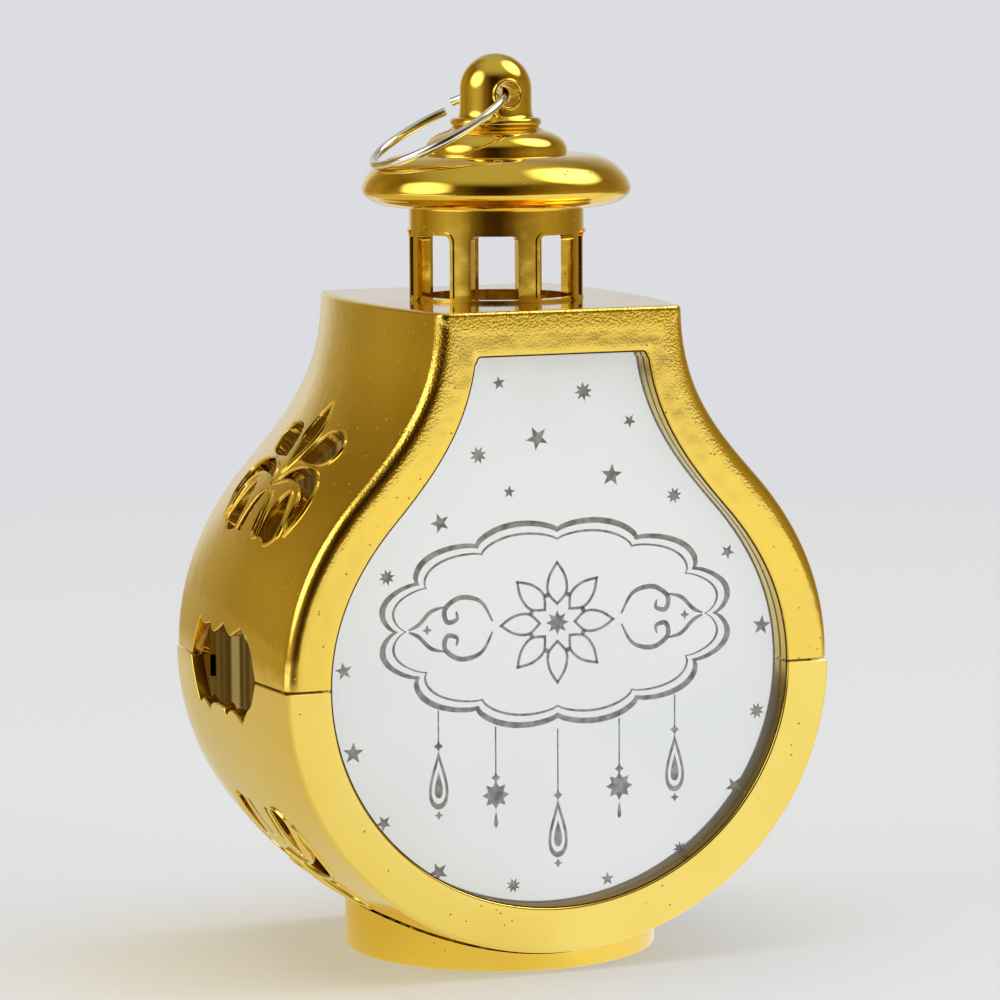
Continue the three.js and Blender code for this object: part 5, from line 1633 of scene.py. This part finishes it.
def leaf_mesh(low_x, high_x):
    """A leaf with a tongue."""
    leaf = block((low_x, -4.0, 3.9), (high_x, 4.0, 12.9), edge=0.08)
    leaf = carved(leaf, block((low_x + 0.01, -1.0, 12.0), (high_x - 0.01, 1.0, 15.7), edge=0.05), "UNION")
    return leaf


def spring_mesh():
    """A cone spring as one wire, wound from its wide foot to its tip."""
    mesh = leaf_mesh(-10.0, -9.6)
    turns = 2.4
    steps = 90
    first = None
    for k in range(steps + 1):
        share = k / steps
        turn = 2 * math.pi * turns * share
        radius = 3.6 - 1.45 * share
        x = -9.45 + 0.6 * share
        ring = []
        for j in range(8):
            spin = 2 * math.pi * j / 8
            reach_out = radius + 0.15 * math.cos(spin)
            ring.append(
                Vector((x + 0.15 * math.sin(spin), reach_out * math.cos(turn), CELL_AXIS_Z + reach_out * math.sin(turn)))
            )
        if first is None:
            face = first = mesh.faces.new([mesh.verts.new(p) for p in ring])
        else:
            order = {p.to_tuple(4): q for p, q in zip(before, ring)}
            face = push_face(mesh, face, [order[v.co.to_tuple(4)] for v in face.verts])
        before = ring
    return mesh


contact_metal = bright_steel("contact_metal", (0.84, 0.80, 0.70), (0.15, 0.3))
add_piece("contact_plate_leaf", leaf_mesh(8.7, 9.1), contact_metal, replaced="contact_plate")
add_piece("contact_spring_wire", spring_mesh(), contact_metal, replaced="contact_spring")

# Board. A small green circuit board on the bay's roof, with solder joints for the contacts, and a resistor.


def moulded(name, colour, rough, clear=0.0, tint=0.85):
    """A moulded or cast plastic with faint flow clouds and a fine texture."""
    material, nodes, links = new_material(name)
    place = nodes.new("ShaderNodeTexCoord").outputs["Object"]
    cloud = nodes.new("ShaderNodeTexNoise")
    cloud.inputs["Scale"].default_value = 260.0
    cloud.inputs["Detail"].default_value = 4.0
    links.new(place, cloud.inputs["Vector"])
    grain = nodes.new("ShaderNodeTexNoise")
    grain.inputs["Scale"].default_value = 4000.0
    links.new(place, grain.inputs["Vector"])
    dark = tuple(tint * c for c in colour)
    shader = nodes.new("ShaderNodeBsdfPrincipled")
    links.new(ramp(nodes, links, cloud.outputs[0], [(0.35, dark), (0.65, colour)]), shader.inputs["Base Color"])
    links.new(spread(nodes, links, cloud.outputs[0], 0.3, 0.7, *rough), shader.inputs["Roughness"])
    bumped = nodes.new("ShaderNodeBump")
    bumped.inputs["Distance"].default_value = 1e-5
    links.new(grain.outputs[0], bumped.inputs["Height"])
    links.new(bumped.outputs["Normal"], shader.inputs["Normal"])
    shader.inputs["Transmission Weight"].default_value = clear
    out = nodes.new("ShaderNodeOutputMaterial")
    links.new(shader.outputs[0], out.inputs["Surface"])
    return material


def board_mesh():
    board = block((-10.5, -6.0, 16.0), (10.5, 6.0, 17.0), edge=0.1)
    for x in (BAY_LEFT_X + 0.5, BAY_RIGHT_X - 0.5):
        joint = turned_mesh([(0, 16.9), (0.9, 16.9), (0.55, 17.2), (0.2, 17.45), (0, 17.5)], 20)
        bmesh.ops.translate(joint, vec=(x, 0, 0), verts=joint.verts)
        add_part_of(board, joint)
    add_part_of(board, block((5.6, -4.6, 16.95), (8.8, -3.0, 17.55), edge=0.12))
    return board


board_green = moulded("board_green", (0.05, 0.20, 0.09), (0.25, 0.45))
add_piece("led_board_fitted", board_mesh(), board_green, replaced="led_board")
white_plastic = moulded("white_plastic", (0.82, 0.81, 0.77), (0.3, 0.5), tint=0.93)
black_plastic = moulded("black_plastic", (0.025, 0.025, 0.027), (0.35, 0.55))

# LED and its holder. A clear five millimetre lamp with a domed end, in a white ribbed collar that
# stands on the board.


def holder_mesh():
    holder = turned_mesh([(2.8, 17.3), (4.4, 17.3), (4.4, 18.3), (3.9, 18.5), (3.8, 22.0), (3.6, 22.3), (2.8, 22.3)], 48)
    for k in range(8):
        turn = math.pi / 4 * k
        rib = block((3.5, -0.3, 18.2), (4.3, 0.3, 21.6), edge=0.12)
        bmesh.ops.rotate(rib, matrix=Matrix.Rotation(turn, 3, "Z"), verts=rib.verts)
        add_part_of(holder, rib)
    return holder


def led_mesh():
    profile = [(0, 17.3), (2.4, 17.3), (2.5, 17.4), (2.5, 18.2), (2.35, 18.3)]
    for k in range(13):
        turn = math.pi / 2 * k / 12
        profile.append((2.35 * math.cos(turn), 23.55 + 2.35 * math.sin(turn)))
    profile[-1] = (0, 25.9)
    return turned_mesh(profile, 40)


add_piece("led_holder_ribbed", holder_mesh(), white_plastic, replaced="led_holder")
led_resin = moulded("led_resin", (0.96, 0.93, 0.84), (0.05, 0.12), clear=0.6, tint=0.95)
add_piece("led_lens", led_mesh(), led_resin, replaced="led")

# Switch. A black slide switch on the foot's floor; its ribbed knob reaches down into the slot.

SLIDER_X = -1.2


def switch_body_mesh():
    body = block((-5.0, SWITCH_Y - 2.4, 2.6), (5.0, SWITCH_Y + 2.4, 7.2), edge=0.25)
    return carved(body, block((-3.5, SWITCH_Y - 1.4, 0), (3.5, SWITCH_Y + 1.4, 4.9), edge=0))


def slider_mesh():
    knob = block((SLIDER_X - 1.5, SWITCH_Y - 0.9, 0.35), (SLIDER_X + 1.5, SWITCH_Y + 0.9, 4.4), edge=0.12)
    flange = block((SLIDER_X - 2.0, SWITCH_Y - 1.1, 2.9), (SLIDER_X + 2.0, SWITCH_Y + 1.1, 4.6), edge=0.1)
    knob = carved(knob, flange, "UNION")
    for k in range(3):
        x = SLIDER_X - 0.95 + 0.75 * k
        knob = carved(knob, block((x, SWITCH_Y - 2, 0), (x + 0.4, SWITCH_Y + 2, 0.65), edge=0))
    return knob


add_piece("switch_body_case", switch_body_mesh(), black_plastic, replaced="switch_body")
add_piece("switch_slider_knob", slider_mesh(), black_plastic, "switch_slider", "switch_slider")
